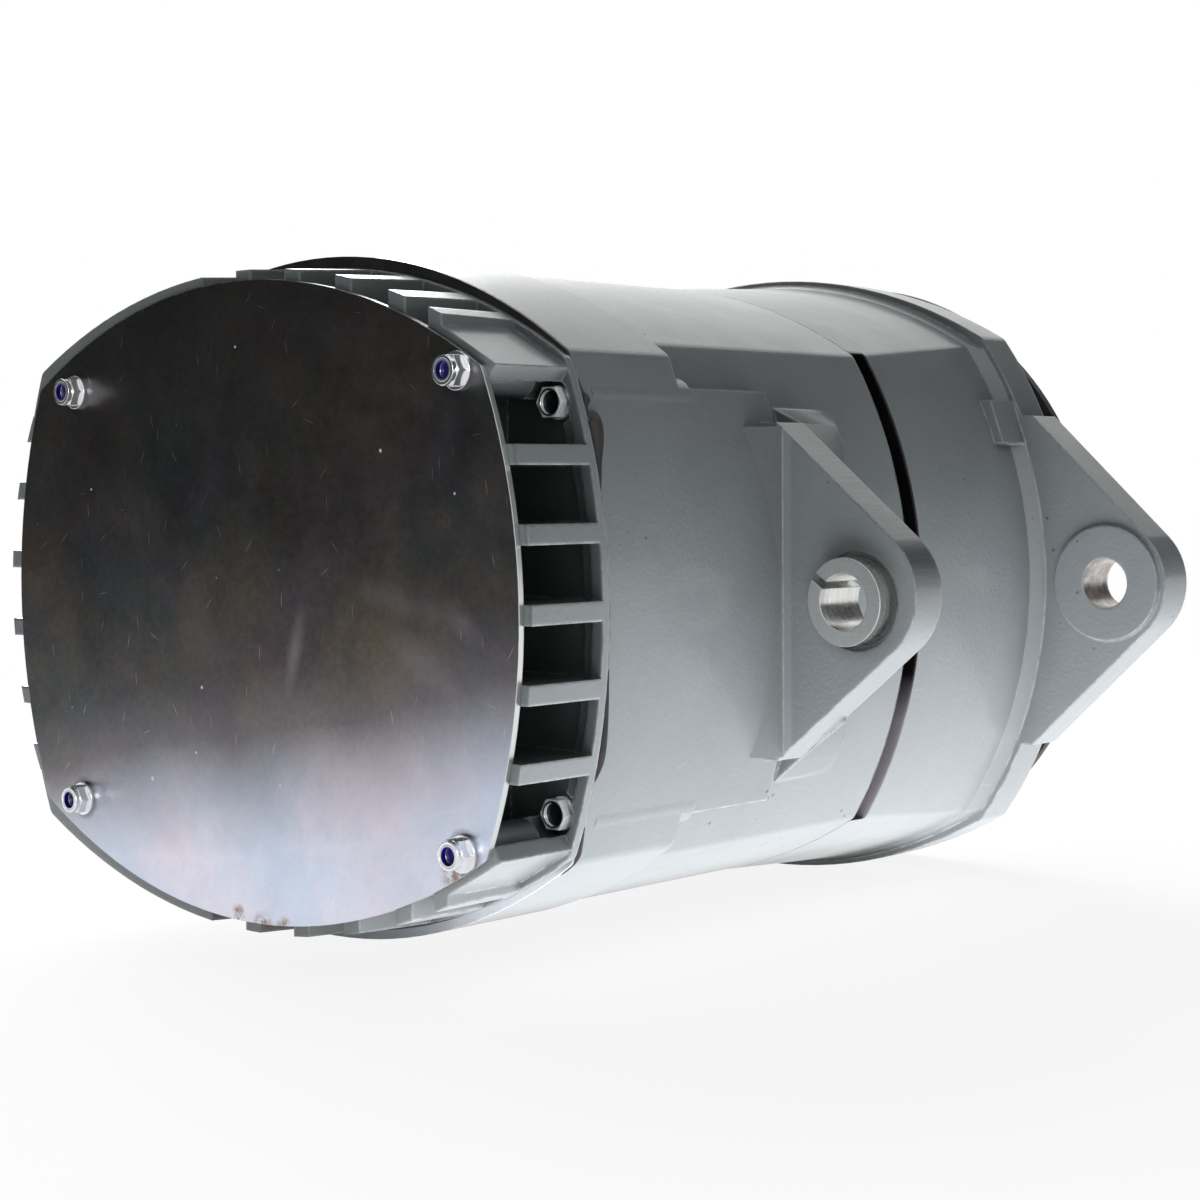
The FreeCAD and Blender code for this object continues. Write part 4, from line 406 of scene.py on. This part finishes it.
def casting_paint():
    """Grey-green spray paint with orange peel over a sand-cast skin, worn along its edges, where
    the pale edge is partly a painted highlight.
    """
    finish = Finish("casting_paint", roughness=0.36)
    finish.shader.inputs["Coat Weight"].default_value = 0.65
    finish.shader.inputs["Coat Roughness"].default_value = 0.16
    across, along, height = (finish.axis(name) for name in "XYZ")
    off_level = finish.positive(height)
    from_hinge = finish.reach(HINGE_X, 0.0)
    cloud = finish.span(finish.noise(11.0, 4.0, 0.6), 0.35, 0.65)
    paint = finish.mix(cloud, (0.178, 0.194, 0.192), (0.210, 0.228, 0.230))
    mottle = finish.span(finish.noise(260.0, 3.0, 0.6), 0.3, 0.7, 0.0, 0.16)
    paint = finish.mix(mottle, paint, (0.15, 0.165, 0.160))
    # Grime and painted shade in the recesses, with less on the bush's seat and beside the rear lug
    grime_and_shade = finish.times(finish.crevices(0.020, 0.15, 0.75),
                         finish.span(finish.noise(70.0, 4.0, 0.6), 0.3, 0.7, 0.7, 1.0),
                         finish.span(from_hinge, *SEAT_REACH, 0.35, 1.0))
    by_lug = finish.times(finish.band(along, *BY_LUG_Y, 0.002),
                          finish.fall(across, *BY_LUG_X, 0.75))
    grime_and_shade = finish.times(grime_and_shade, finish.outside(by_lug), 0.85)
    paint = finish.mix(grime_and_shade, paint, (0.022, 0.023, 0.020))
    # Pits left by the sand, and fine scratches that show a paler undercoat
    pits = finish.times(finish.dots(210.0, 0.07, 0.11), finish.span(finish.noise(26.0), 0.56, 0.62))
    paint = finish.mix(finish.times(pits, 0.7), paint, (0.07, 0.075, 0.075))
    scratches = finish.most(*(finish.marks(*mark) for mark in PAINT_MARKS))
    paint = finish.mix(finish.times(scratches, 0.28), paint, (0.36, 0.37, 0.37))
    # The root of the rear lug and its two gussets run into the side without an edge
    root = finish.times(finish.band(along, *ROOT_Y, SHARP), finish.fall(across, *ROOT_X),
                        finish.fall(off_level, *ROOT_END_Z))
    gusset = finish.times(finish.band(along, *GUSSET_Y, SHARP),
                          finish.band(off_level, *GUSSET_Z, SHARP),
                          finish.span(finish.reach(DRUM_SIDE_MIDDLE_X, 0.0), *DRUM_SIDE_REACH),
                          finish.fall(across, *GUSSET_X))
    # A painted highlight along the fillet where the lug stands on the side, and painted shade on
    # the lug's upper slope
    fillet_highlight = finish.times(finish.band(across, *FILLET_X, 0.0005),
                          finish.band(along, *FILLET_Y, SHARP),
                          finish.band(height, *FILLET_Z, 0.002))
    paint = finish.mix(finish.times(fillet_highlight, 0.35), paint, (0.34, 0.36, 0.36))
    upward = finish.span(finish.axis("Z", finish.facing), 0.25, 0.50)
    slope = finish.times(finish.band(along, LUG_FRONT_Y, LUG_REAR_Y, LUG_SOFT),
                         finish.fall(across, *LUG_SHADED_SLOPE_X), upward)
    paint = finish.mix(finish.times(slope, 0.85), paint, (0.085, 0.090, 0.092))
    # Worn edges show the pale undercoat, and this pale line is partly a painted highlight
    worn_and_highlit = finish.times(finish.edges(0.0010),
                        finish.span(finish.noise(260.0, 4.0, 0.7), 0.38, 0.58),
                        finish.outside(finish.most(root, gusset)))
    paint = finish.mix(finish.times(worn_and_highlit, 0.75), paint, (0.46, 0.47, 0.46))
    # Grinding marks on the narrow edge of the rear lug
    strip = finish.times(finish.band(along, LUG_FRONT_Y, LUG_TIP_REAR_Y, LUG_SOFT),
                         finish.fall(across, *LUG_TIP_X))
    lines = finish.span(finish.streaks((60.0, 40.0, 2600.0), 3.0, 0.6), 0.50, 0.68, 0.0, 0.22)
    ground = finish.times(strip, lines, finish.span(height, *LUG_GROUND_Z))
    paint = finish.mix(ground, paint, (0.40, 0.41, 0.42))
    # Joint between the two housings, and the groove in its sides, dark with dirt and painted shade
    # that gives way to grey towards the bottom
    wander = finish.add(along, finish.span(finish.noise(160.0, 3.0), 0.3, 0.7, -0.0003, 0.0003))
    seam = finish.band(wander, SEAM_Y - SEAM_HALF_WIDTH, SEAM_Y + SEAM_HALF_WIDTH, SEAM_SOFT)
    paint = finish.mix(finish.times(seam, 0.8), paint, (0.035, 0.036, 0.034))
    groove = finish.times(finish.band(along, GROOVE_FRONT_Y - GROOVE_MARGIN, SEAM_Y + SHARP, SHARP),
                          finish.band(height, -GROOVE_HALF_HEIGHT, GROOVE_HALF_HEIGHT, 0.0006))
    soiled_and_shaded = finish.mix(finish.span(height, *GROOVE_FADE_Z),
                        (0.17, 0.155, 0.16), (0.004, 0.004, 0.004))
    paint = finish.mix(groove, paint, soiled_and_shaded)
    # Dirt and painted shade round the bush, and the bare bore of the front lug
    dirt_and_shade = finish.times(finish.fall(from_hinge, *BUSH_DIRT_AND_SHADE_REACH), finish.span(along, *BUSH_FACE_Y))
    paint = finish.mix(finish.times(dirt_and_shade, 0.45), paint, (0.05, 0.05, 0.048))
    bare = finish.times(finish.fall(from_hinge, *HOLE_REACH), finish.fall(along, *FRONT_LUG_Y))
    stain = finish.span(finish.noise(400.0, 4.0), 0.35, 0.65)
    steel = finish.mix(stain, (0.33, 0.29, 0.26), (0.62, 0.59, 0.56))
    finish.set("Base Color", finish.mix(bare, paint, steel))
    finish.set("Metallic", finish.times(bare, 0.8))
    finish.set("Roughness", finish.span(finish.noise(60.0, 3.0), 0.3, 0.7, 0.30, 0.44))
    finish.relief((finish.noise(900.0, 2.0, 0.4), 0.00009),
                  (finish.noise(2100.0, 2.0, 0.5), 0.00003),
                  (finish.noise(110.0, 3.0), 0.00012), (finish.outside(seam), 0.0003),
                  (finish.outside(pits), 0.0002), edge=0.0011,
                  flows=[(root, finish.around(COLLAR_SIDE_MIDDLE_X)),
                         (gusset, finish.around(DRUM_SIDE_MIDDLE_X))])
    return finish.material


def cover_steel():
    """A zinc-plated cover, dark and mottled with brown, pale and bluish towards its lower edge; the
    dark top and pale lower edge are partly a painted reflection.
    """
    finish = Finish("cover_steel", roughness=0.34, metallic=1.0)
    across, height = finish.axis("X"), finish.axis("Z")
    slope = finish.add(height, finish.times(finish.add(across, -COVER_LEVEL_X), COVER_TILT))
    drift = finish.add(slope, finish.span(finish.noise(8.0, 3.0, 0.5), 0.3, 0.7, -0.009, 0.009))
    cloud = finish.noise(15.0, 5.0, 0.62)
    brown = finish.mix(finish.span(cloud, 0.42, 0.60),
                       (0.118, 0.130, 0.134), (0.225, 0.188, 0.150))
    for scale, rough, low, high, strength, tint in COVER_PATCHES:
        patches = finish.span(finish.noise(scale, 5.0, rough), low, high, 0.0, strength)
        brown = finish.mix(patches, brown, tint)
    # Greyer at the top and pale, bluish towards the bottom: the plate's own tone and partly a
    # painted reflection of the dark surroundings and the pale floor
    brown = finish.mix(finish.span(drift, *COVER_TOP_Z, 0.0, 0.55), brown, (0.150, 0.147, 0.142))
    cool_tone_and_reflection = finish.mix(finish.span(cloud, 0.42, 0.58), (0.66, 0.75, 0.90), (0.84, 0.79, 0.90))
    middle = finish.mix(finish.span(drift, *COVER_MIDDLE_Z), (0.33, 0.32, 0.36), brown)
    tone = finish.mix(finish.span(drift, *COVER_PALE_Z), cool_tone_and_reflection, middle)
    # A fine grain, and pale smears where it was wiped
    grain = finish.times(finish.span(finish.noise(620.0, 3.0, 0.8), 0.38, 0.62, 0.0, 0.32),
                         finish.span(drift, *COVER_GRAIN_Z, 0.25, 1.0))
    tone = finish.mix(grain, tone, finish.mix(0.5, tone, (0.0, 0.0, 0.0)))
    ragged = finish.span(finish.noise(70.0, 4.0), 0.3, 0.7, 0.3, 1.0)
    for x, z, turn, length, width, strength in SMEARS:
        place = finish.node("ShaderNodeMapping", vector_type="TEXTURE")
        finish.put(finish.place, place.inputs["Vector"])
        place.inputs["Location"].default_value = (x, COVER_Y, z)
        place.inputs["Rotation"].default_value = (0.0, math.radians(turn), 0.0)
        place.inputs["Scale"].default_value = (length, 1.0, width)
        smear = finish.fall(finish.length(place.outputs["Vector"]), 0.1, 1.0, strength)
        tone = finish.mix(finish.times(smear, ragged), tone, (0.56, 0.52, 0.57))
    scratches = finish.most(*(finish.marks(*mark) for mark in COVER_MARKS))
    tone = finish.mix(scratches, tone, (0.78, 0.76, 0.72))
    dots = finish.times(finish.dots(105.0, 0.020, 0.028, 0.8),
                        finish.span(finish.noise(18.0), 0.47, 0.50))
    tone = finish.mix(dots, tone, (0.80, 0.76, 0.68))
    specks = finish.spots(SPECKS)
    tone = finish.mix(specks, tone, (0.80, 0.80, 0.78))
    # Rust along the lower edge and by the lower near nut, and a darker ring round every nut
    stain = finish.span(finish.noise(330.0, 5.0, 0.7), 0.42, 0.56)
    tone = finish.mix(finish.times(finish.spots(RUST, 0.4), stain), tone, (0.34, 0.25, 0.19))
    nuts = finish.spots([(x, z, NUT_DARK_RING_RADIUS) for x, z in NUT_PLACES], 0.15)
    tone = finish.mix(finish.times(nuts, 0.6), tone, (0.08, 0.08, 0.085))
    # The cut edge is bright, but dull where it faces up
    cut = finish.fall(finish.positive(finish.axis("Y", finish.facing)), 0.5, 0.6)
    upper = finish.span(finish.axis("Z", finish.facing), 0.55, 0.85)
    tone = finish.mix(cut, tone, finish.mix(upper, (0.80, 0.84, 0.83), (0.22, 0.23, 0.23)))
    # A pale line along the edges: wear of the metal, and partly a painted highlight
    rim_wear_and_highlight = finish.times(finish.edges(0.0004), finish.span(finish.noise(300.0, 3.0), 0.4, 0.6), 0.7)
    finish.set("Base Color", finish.mix(rim_wear_and_highlight, tone, (0.70, 0.72, 0.72)))
    # Specks of dried splash are matt
    finish.set("Metallic", finish.outside(specks))
    finish.set("Roughness", finish.span(finish.noise(35.0, 5.0, 0.7), 0.3, 0.7, 0.27, 0.40))
    finish.relief((finish.noise(420.0, 4.0, 0.7), 0.00002),
                  (finish.noise(14.0, 2.0), 0.0004), edge=0.0004)
    return finish.material


def zinc_plate(name="zinc_plate", metallic=1.0, dishes=()):
    """Bright zinc on small steel hardware, with dark dishes of the given x, z and radius."""
    finish = Finish(name, roughness=0.2, metallic=metallic)
    cloud = finish.span(finish.noise(300.0, 3.0), 0.35, 0.65)
    tone = finish.mix(cloud, (0.78, 0.80, 0.82), (0.90, 0.90, 0.92))
    # Grime and painted shade in the crevices
    grime_and_shade = finish.times(finish.crevices(0.0008, 0.15, 0.55), 0.45)
    tone = finish.mix(grime_and_shade, tone, (0.10, 0.10, 0.11))
    if dishes:
        facing = finish.span(finish.axis("Y", finish.facing), 0.90, 0.96)
        dish = finish.times(finish.spots(dishes, 0.06), facing)
        tone = finish.mix(dish, tone, (0.012, 0.014, 0.016))
    finish.set("Base Color", tone)
    finish.set("Roughness", finish.span(finish.noise(700.0, 2.0), 0.3, 0.7, 0.14, 0.26))
    finish.relief((finish.noise(1200.0, 2.0), 0.00001), edge=0.0003)
    return finish.material


def blue_nylon():
    """Blue-violet nylon in the lock nuts, inside the bright rolled lip of the nut."""
    finish = Finish("blue_nylon", roughness=0.3)
    cloud = finish.span(finish.noise(500.0, 2.0), 0.35, 0.65)
    blue = finish.mix(cloud, (0.012, 0.004, 0.17), (0.030, 0.012, 0.32))
    inside = finish.spots([(x, z, INSERT_RADIUS) for x, z in NUT_PLACES], 0.04)
    finish.set("Base Color", finish.mix(inside, (0.80, 0.81, 0.84), blue))
    finish.set("Metallic", finish.outside(inside))
    finish.relief((finish.noise(900.0, 2.0), 0.00005), edge=0.0003)
    return finish.material


def stud_in_blue_shade():
    """The end of a stud, deep in its blue nylon ring, painted dark blue as the shade in the ring
    and the blue light from the nylon.
    """
    finish = Finish("stud_in_blue_shade", roughness=0.35)
    cloud = finish.span(finish.noise(900.0, 3.0), 0.40, 0.60)
    finish.set("Base Color", finish.mix(cloud, (0.006, 0.003, 0.075), (0.020, 0.010, 0.24)))
    finish.relief((finish.noise(1400.0, 2.0), 0.00008), edge=0.0003)
    return finish.material


def sealant():
    """Black sealing compound, a little uneven."""
    finish = Finish("sealant", roughness=0.55)
    cloud = finish.span(finish.noise(120.0, 3.0), 0.3, 0.7)
    tone = finish.mix(cloud, (0.010, 0.010, 0.010), (0.032, 0.028, 0.026))
    # Along the lower side the paint covers all but a thin line of it, and is paler than the
    # housing's paint, as painted light where the lamps reach it weakly
    wander = finish.span(finish.noise(90.0), 0.3, 0.7, -0.0001, 0.0001)
    thin = finish.span(finish.add(finish.axis("Y"), wander), JOINT_Y - 0.0002, JOINT_Y - 0.0001)
    overspray_and_painted_light = finish.times(finish.fall(finish.axis("Z"), *SEALANT_PAINTED_Z), thin)
    finish.set("Base Color", finish.mix(overspray_and_painted_light, tone, (0.50, 0.52, 0.53)))
    finish.relief((finish.noise(380.0, 3.0), 0.0003))
    return finish.material


def turned_steel(name, dark, light, rings, roughness):
    """Steel with faint turning lines along Y."""
    finish = Finish(name, roughness=roughness, metallic=1.0)
    lines = finish.streaks((6.0, rings, 6.0), 3.0)
    finish.set("Base Color", finish.mix(finish.span(lines, 0.3, 0.7), dark, light))
    uneven = finish.span(finish.noise(200.0, 3.0), 0.3, 0.7, roughness - 0.06, roughness + 0.1)
    finish.set("Roughness", uneven)
    finish.relief((lines, 0.00004), edge=0.0004)
    return finish.material


def plain_finish(name, first, second, scale, roughness, metallic):
    """Two close tones in a soft cloud, with a fine grain."""
    finish = Finish(name, roughness=roughness, metallic=metallic)
    cloud = finish.span(finish.noise(scale, 4.0, 0.6), 0.35, 0.65)
    finish.set("Base Color", finish.mix(cloud, first, second))
    uneven = finish.span(finish.noise(scale * 4, 3.0), 0.3, 0.7, roughness - 0.06, roughness + 0.08)
    finish.set("Roughness", uneven)
    finish.relief((finish.noise(scale * 14, 3.0), 0.00008), edge=0.0005)
    return finish.material


def laminations():
    """The stator's lacquered sheets, seen edge on."""
    finish = Finish("laminations")
    sheets = finish.streaks((1.0, 2200.0, 1.0), 1.0)
    finish.set("Base Color", finish.mix(finish.span(sheets, 0.35, 0.65), (0.006, 0.006, 0.006),
                                        (0.020, 0.019, 0.018)))
    finish.relief((sheets, 0.0001))
    return finish.material


FINISHES = {
    "casting_grey": casting_paint(),
    "plate_black": cover_steel(),
    "zinc_steel": zinc_plate(),
    "blue_nylon": blue_nylon(),
    "black_sealant": sealant(),
    "lamination": laminations(),
    **{name: turned_steel(name, *look) for name, look in TURNED_STEELS.items()},
    **{name: plain_finish(name, *look) for name, look in PLAIN_FINISHES.items()},
}


def dress(name, material):
    """Give a node one material in place of any that it has."""
    materials = frame["nodes"][name].data.materials
    materials.clear()
    materials.append(material)


def dress_nodes():
    """Give every node the finish of its material slot, and two sets of hardware their own."""
    for part in frame["record"]["subparts"]:
        dress(part["node"], FINISHES[part["material_slot"]])
    dress("cover_studs", stud_in_blue_shade())
    dishes = [(x, z, BOLT_DISH_RADIUS) for x, z in RING_BOLT_PLACES]
    dress("ring_bolts", zinc_plate("bolt_zinc", 0.60, dishes))


def squeezed_sealant():
    """Lumps of sealant along the ring's joint, lying on the rear housing."""
    housing = frame["nodes"]["rear_housing"]
    bpy.context.view_layer.update()
    tree = BVHTree.FromObject(housing, bpy.context.evaluated_depsgraph_get())
    line = bpy.data.curves.new("squeezed_sealant", "CURVE")
    line.dimensions = "3D"
    line.bevel_depth = 1.0
    line.bevel_resolution = 3
    line.use_fill_caps = True
    line.resolution_u = 6
    for run in SEALANT_RUNS:
        spline = line.splines.new("NURBS")
        spline.points.add(len(run) - 1)
        spline.order_u = 3
        spline.use_endpoint_u = True
        for point, (height, radius) in zip(spline.points, run):
            side = tree.ray_cast(Vector((SIDE_FROM_X, SIDE_Y, height)), Vector((1.0, 0.0, 0.0)))[0]
            along = JOINT_Y - SEALANT_GAP - SEALANT_FORWARD * radius
            point.co = (side.x + SEALANT_SINK * radius, along, height, 1.0)
            point.radius = radius
    piece = bpy.data.objects.new("squeezed_sealant", line)
    bpy.context.collection.objects.link(piece)
    line.materials.append(FINISHES["black_sealant"])
    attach(piece, "housing")


def make_camera():
    data = bpy.data.cameras.new("photo_camera")
    data.lens = CAMERA_LENS
    data.sensor_width = FILM_WIDTH
    data.clip_start = 0.01
    data.clip_end = 50.0
    camera = bpy.data.objects.new("photo_camera", data)
    bpy.context.collection.objects.link(camera)
    yaw = math.radians(CAMERA_YAW)
    pitch = math.radians(CAMERA_PITCH)
    look = Vector((math.sin(yaw) * math.cos(pitch), -math.cos(yaw) * math.cos(pitch),
                   math.sin(pitch)))
    aim = look.to_track_quat("-Z", "Y").to_matrix().to_4x4()
    roll = Matrix.Rotation(math.radians(CAMERA_ROLL), 4, "Z")
    camera.matrix_world = Matrix.Translation(CAMERA_PLACE) @ aim @ roll
    bpy.context.scene.camera = camera


def seen_rays(tree):
    """1 for the rays that see the background, straight or by a reflection, otherwise 0."""
    path = tree.nodes.new("ShaderNodeLightPath")
    total = path.outputs["Is Camera Ray"]
    for kind in ("Is Glossy Ray", "Is Transmission Ray"):
        either = tree.nodes.new("ShaderNodeMath")
        either.operation = "MAXIMUM"
        tree.links.new(total, either.inputs[0])
        tree.links.new(path.outputs[kind], either.inputs[1])
        total = either.outputs["Value"]
    return total


def make_world():
    world = bpy.data.worlds.new("studio")
    bpy.context.scene.world = world
    world.use_nodes = True
    tree = world.node_tree
    light = tree.nodes["Background"]
    light.inputs["Color"].default_value = (0.92, 0.96, 1.0, 1.0)
    light.inputs["Strength"].default_value = WORLD_STRENGTH
    seen = tree.nodes.new("ShaderNodeBackground")
    seen.inputs["Color"].default_value = (1.0, 1.0, 1.0, 1.0)
    mixed = tree.nodes.new("ShaderNodeMixShader")
    tree.links.new(seen_rays(tree), mixed.inputs["Fac"])
    tree.links.new(light.outputs["Background"], mixed.inputs[1])
    tree.links.new(seen.outputs["Background"], mixed.inputs[2])
    tree.links.new(mixed.outputs["Shader"], tree.nodes["World Output"].inputs["Surface"])


def stage_sheet(name, width, height, place, material):
    """A flat sheet of the studio, which isn't part of the alternator."""
    shape = bmesh.new()
    bmesh.ops.create_grid(shape, x_segments=1, y_segments=1, size=0.5)
    bmesh.ops.scale(shape, vec=(width, height, 1.0), verts=shape.verts)
    bmesh.ops.transform(shape, matrix=place, verts=shape.verts)
    mesh = bpy.data.meshes.new(name)
    shape.to_mesh(mesh)
    shape.free()
    mesh.materials.append(material)
    sheet = bpy.data.objects.new(name, mesh)
    bpy.context.collection.objects.link(sheet)
    return sheet


def make_floor():
    """A pale floor that keeps the shadow and, further away, fades into the white background."""
    material = bpy.data.materials.new("studio_floor")
    material.use_nodes = True
    tree = material.node_tree
    shader = tree.nodes["Principled BSDF"]
    shader.inputs["Base Color"].default_value = (0.90, 0.90, 0.91, 1.0)
    shader.inputs["Roughness"].default_value = 0.9
    shader.inputs["Specular IOR Level"].default_value = 0.0
    glow = tree.nodes.new("ShaderNodeEmission")
    glow.inputs["Color"].default_value = (1.0, 1.0, 1.0, 1.0)
    away = tree.nodes.new("ShaderNodeVectorMath")
    away.operation = "LENGTH"
    tree.links.new(tree.nodes.new("ShaderNodeTexCoord").outputs["Object"], away.inputs[0])
    fade = tree.nodes.new("ShaderNodeMapRange")
    for socket, number in zip(fade.inputs[1:5], FLOOR_FADE):
        socket.default_value = number
    tree.links.new(away.outputs["Value"], fade.inputs[0])
    share = tree.nodes.new("ShaderNodeMath")
    share.operation = "MULTIPLY"
    tree.links.new(seen_rays(tree), share.inputs[0])
    tree.links.new(fade.outputs["Result"], share.inputs[1])
    mixed = tree.nodes.new("ShaderNodeMixShader")
    tree.links.new(share.outputs["Value"], mixed.inputs["Fac"])
    tree.links.new(shader.outputs["BSDF"], mixed.inputs[1])
    tree.links.new(glow.outputs["Emission"], mixed.inputs[2])
    tree.links.new(mixed.outputs["Shader"], tree.nodes["Material Output"].inputs["Surface"])
    place = Matrix.Translation((0.0, 0.0, cad_low.z - FLOOR_GAP))
    stage_sheet("studio_floor", STUDIO_SIZE, STUDIO_SIZE, place, material)


def make_flags():
    """Dark cards that only reflections see, as above and beside a studio camera."""
    material = bpy.data.materials.new("studio_flag")
    material.use_nodes = True
    shader = material.node_tree.nodes["Principled BSDF"]
    shader.inputs["Base Color"].default_value = (0.05, 0.05, 0.052, 1.0)
    shader.inputs["Roughness"].default_value = 1.0
    upright = Matrix.Rotation(math.radians(90.0), 4, "X")
    turn = Matrix.Rotation(math.radians(-CAMERA_YAW), 4, "Z") @ upright
    for name, place, width, height in FLAGS:
        flag = stage_sheet(name, width, height, Matrix.Translation(place) @ turn, material)
        flag.visible_camera = False
        flag.visible_diffuse = False
        flag.visible_shadow = False


def towards(place, target):
    """The turn of a lamp that shines from a place to a target."""
    way = Vector(target) - Vector(place)
    return way.to_track_quat("-Z", "Y").to_matrix().to_4x4()


def make_lamp(name, place, turn, size, power, colour=(1.0, 1.0, 1.0)):
    """A rectangular lamp that shines along its own -Z and that the camera doesn't see."""
    data = bpy.data.lights.new(name, "AREA")
    data.shape = "RECTANGLE"
    data.size, data.size_y = size
    data.energy = power
    data.color = colour
    lamp = bpy.data.objects.new(name, data)
    bpy.context.collection.objects.link(lamp)
    lamp.matrix_world = Matrix.Translation(place) @ turn
    lamp.visible_camera = False
    return lamp


def make_lamps():
    make_lamp("top_softbox", SOFTBOX_PLACE, towards(SOFTBOX_PLACE, SOFTBOX_TARGET),
              SOFTBOX_SIZE, SOFTBOX_POWER)
    # A strip of light table beside the alternator, turned up, which lights it from below
    upward = Matrix.Rotation(math.radians(180.0), 4, "Y")
    strip = make_lamp("table_light", TABLE_LIGHT_PLACE, upward,
                      TABLE_LIGHT_SIZE, TABLE_LIGHT_POWER, TABLE_LIGHT_COLOUR)
    strip.visible_glossy = False
    # A kicker that only picks out the bright hardware
    kicker = make_lamp("kicker", KICKER_PLACE, towards(KICKER_PLACE, KICKER_TARGET),
                       KICKER_SIZE, KICKER_POWER)
    bright = bpy.data.collections.new("bright_hardware")
    for name in ("ring_bolts", "cover_nuts"):
        bright.objects.link(frame["nodes"][name])
    kicker.light_linking.receiver_collection = bright


dress_nodes()
squeezed_sealant()
make_camera()
make_world()
make_floor()
make_flags()
make_lamps()

bpy.context.scene.view_settings.view_transform = "Standard"
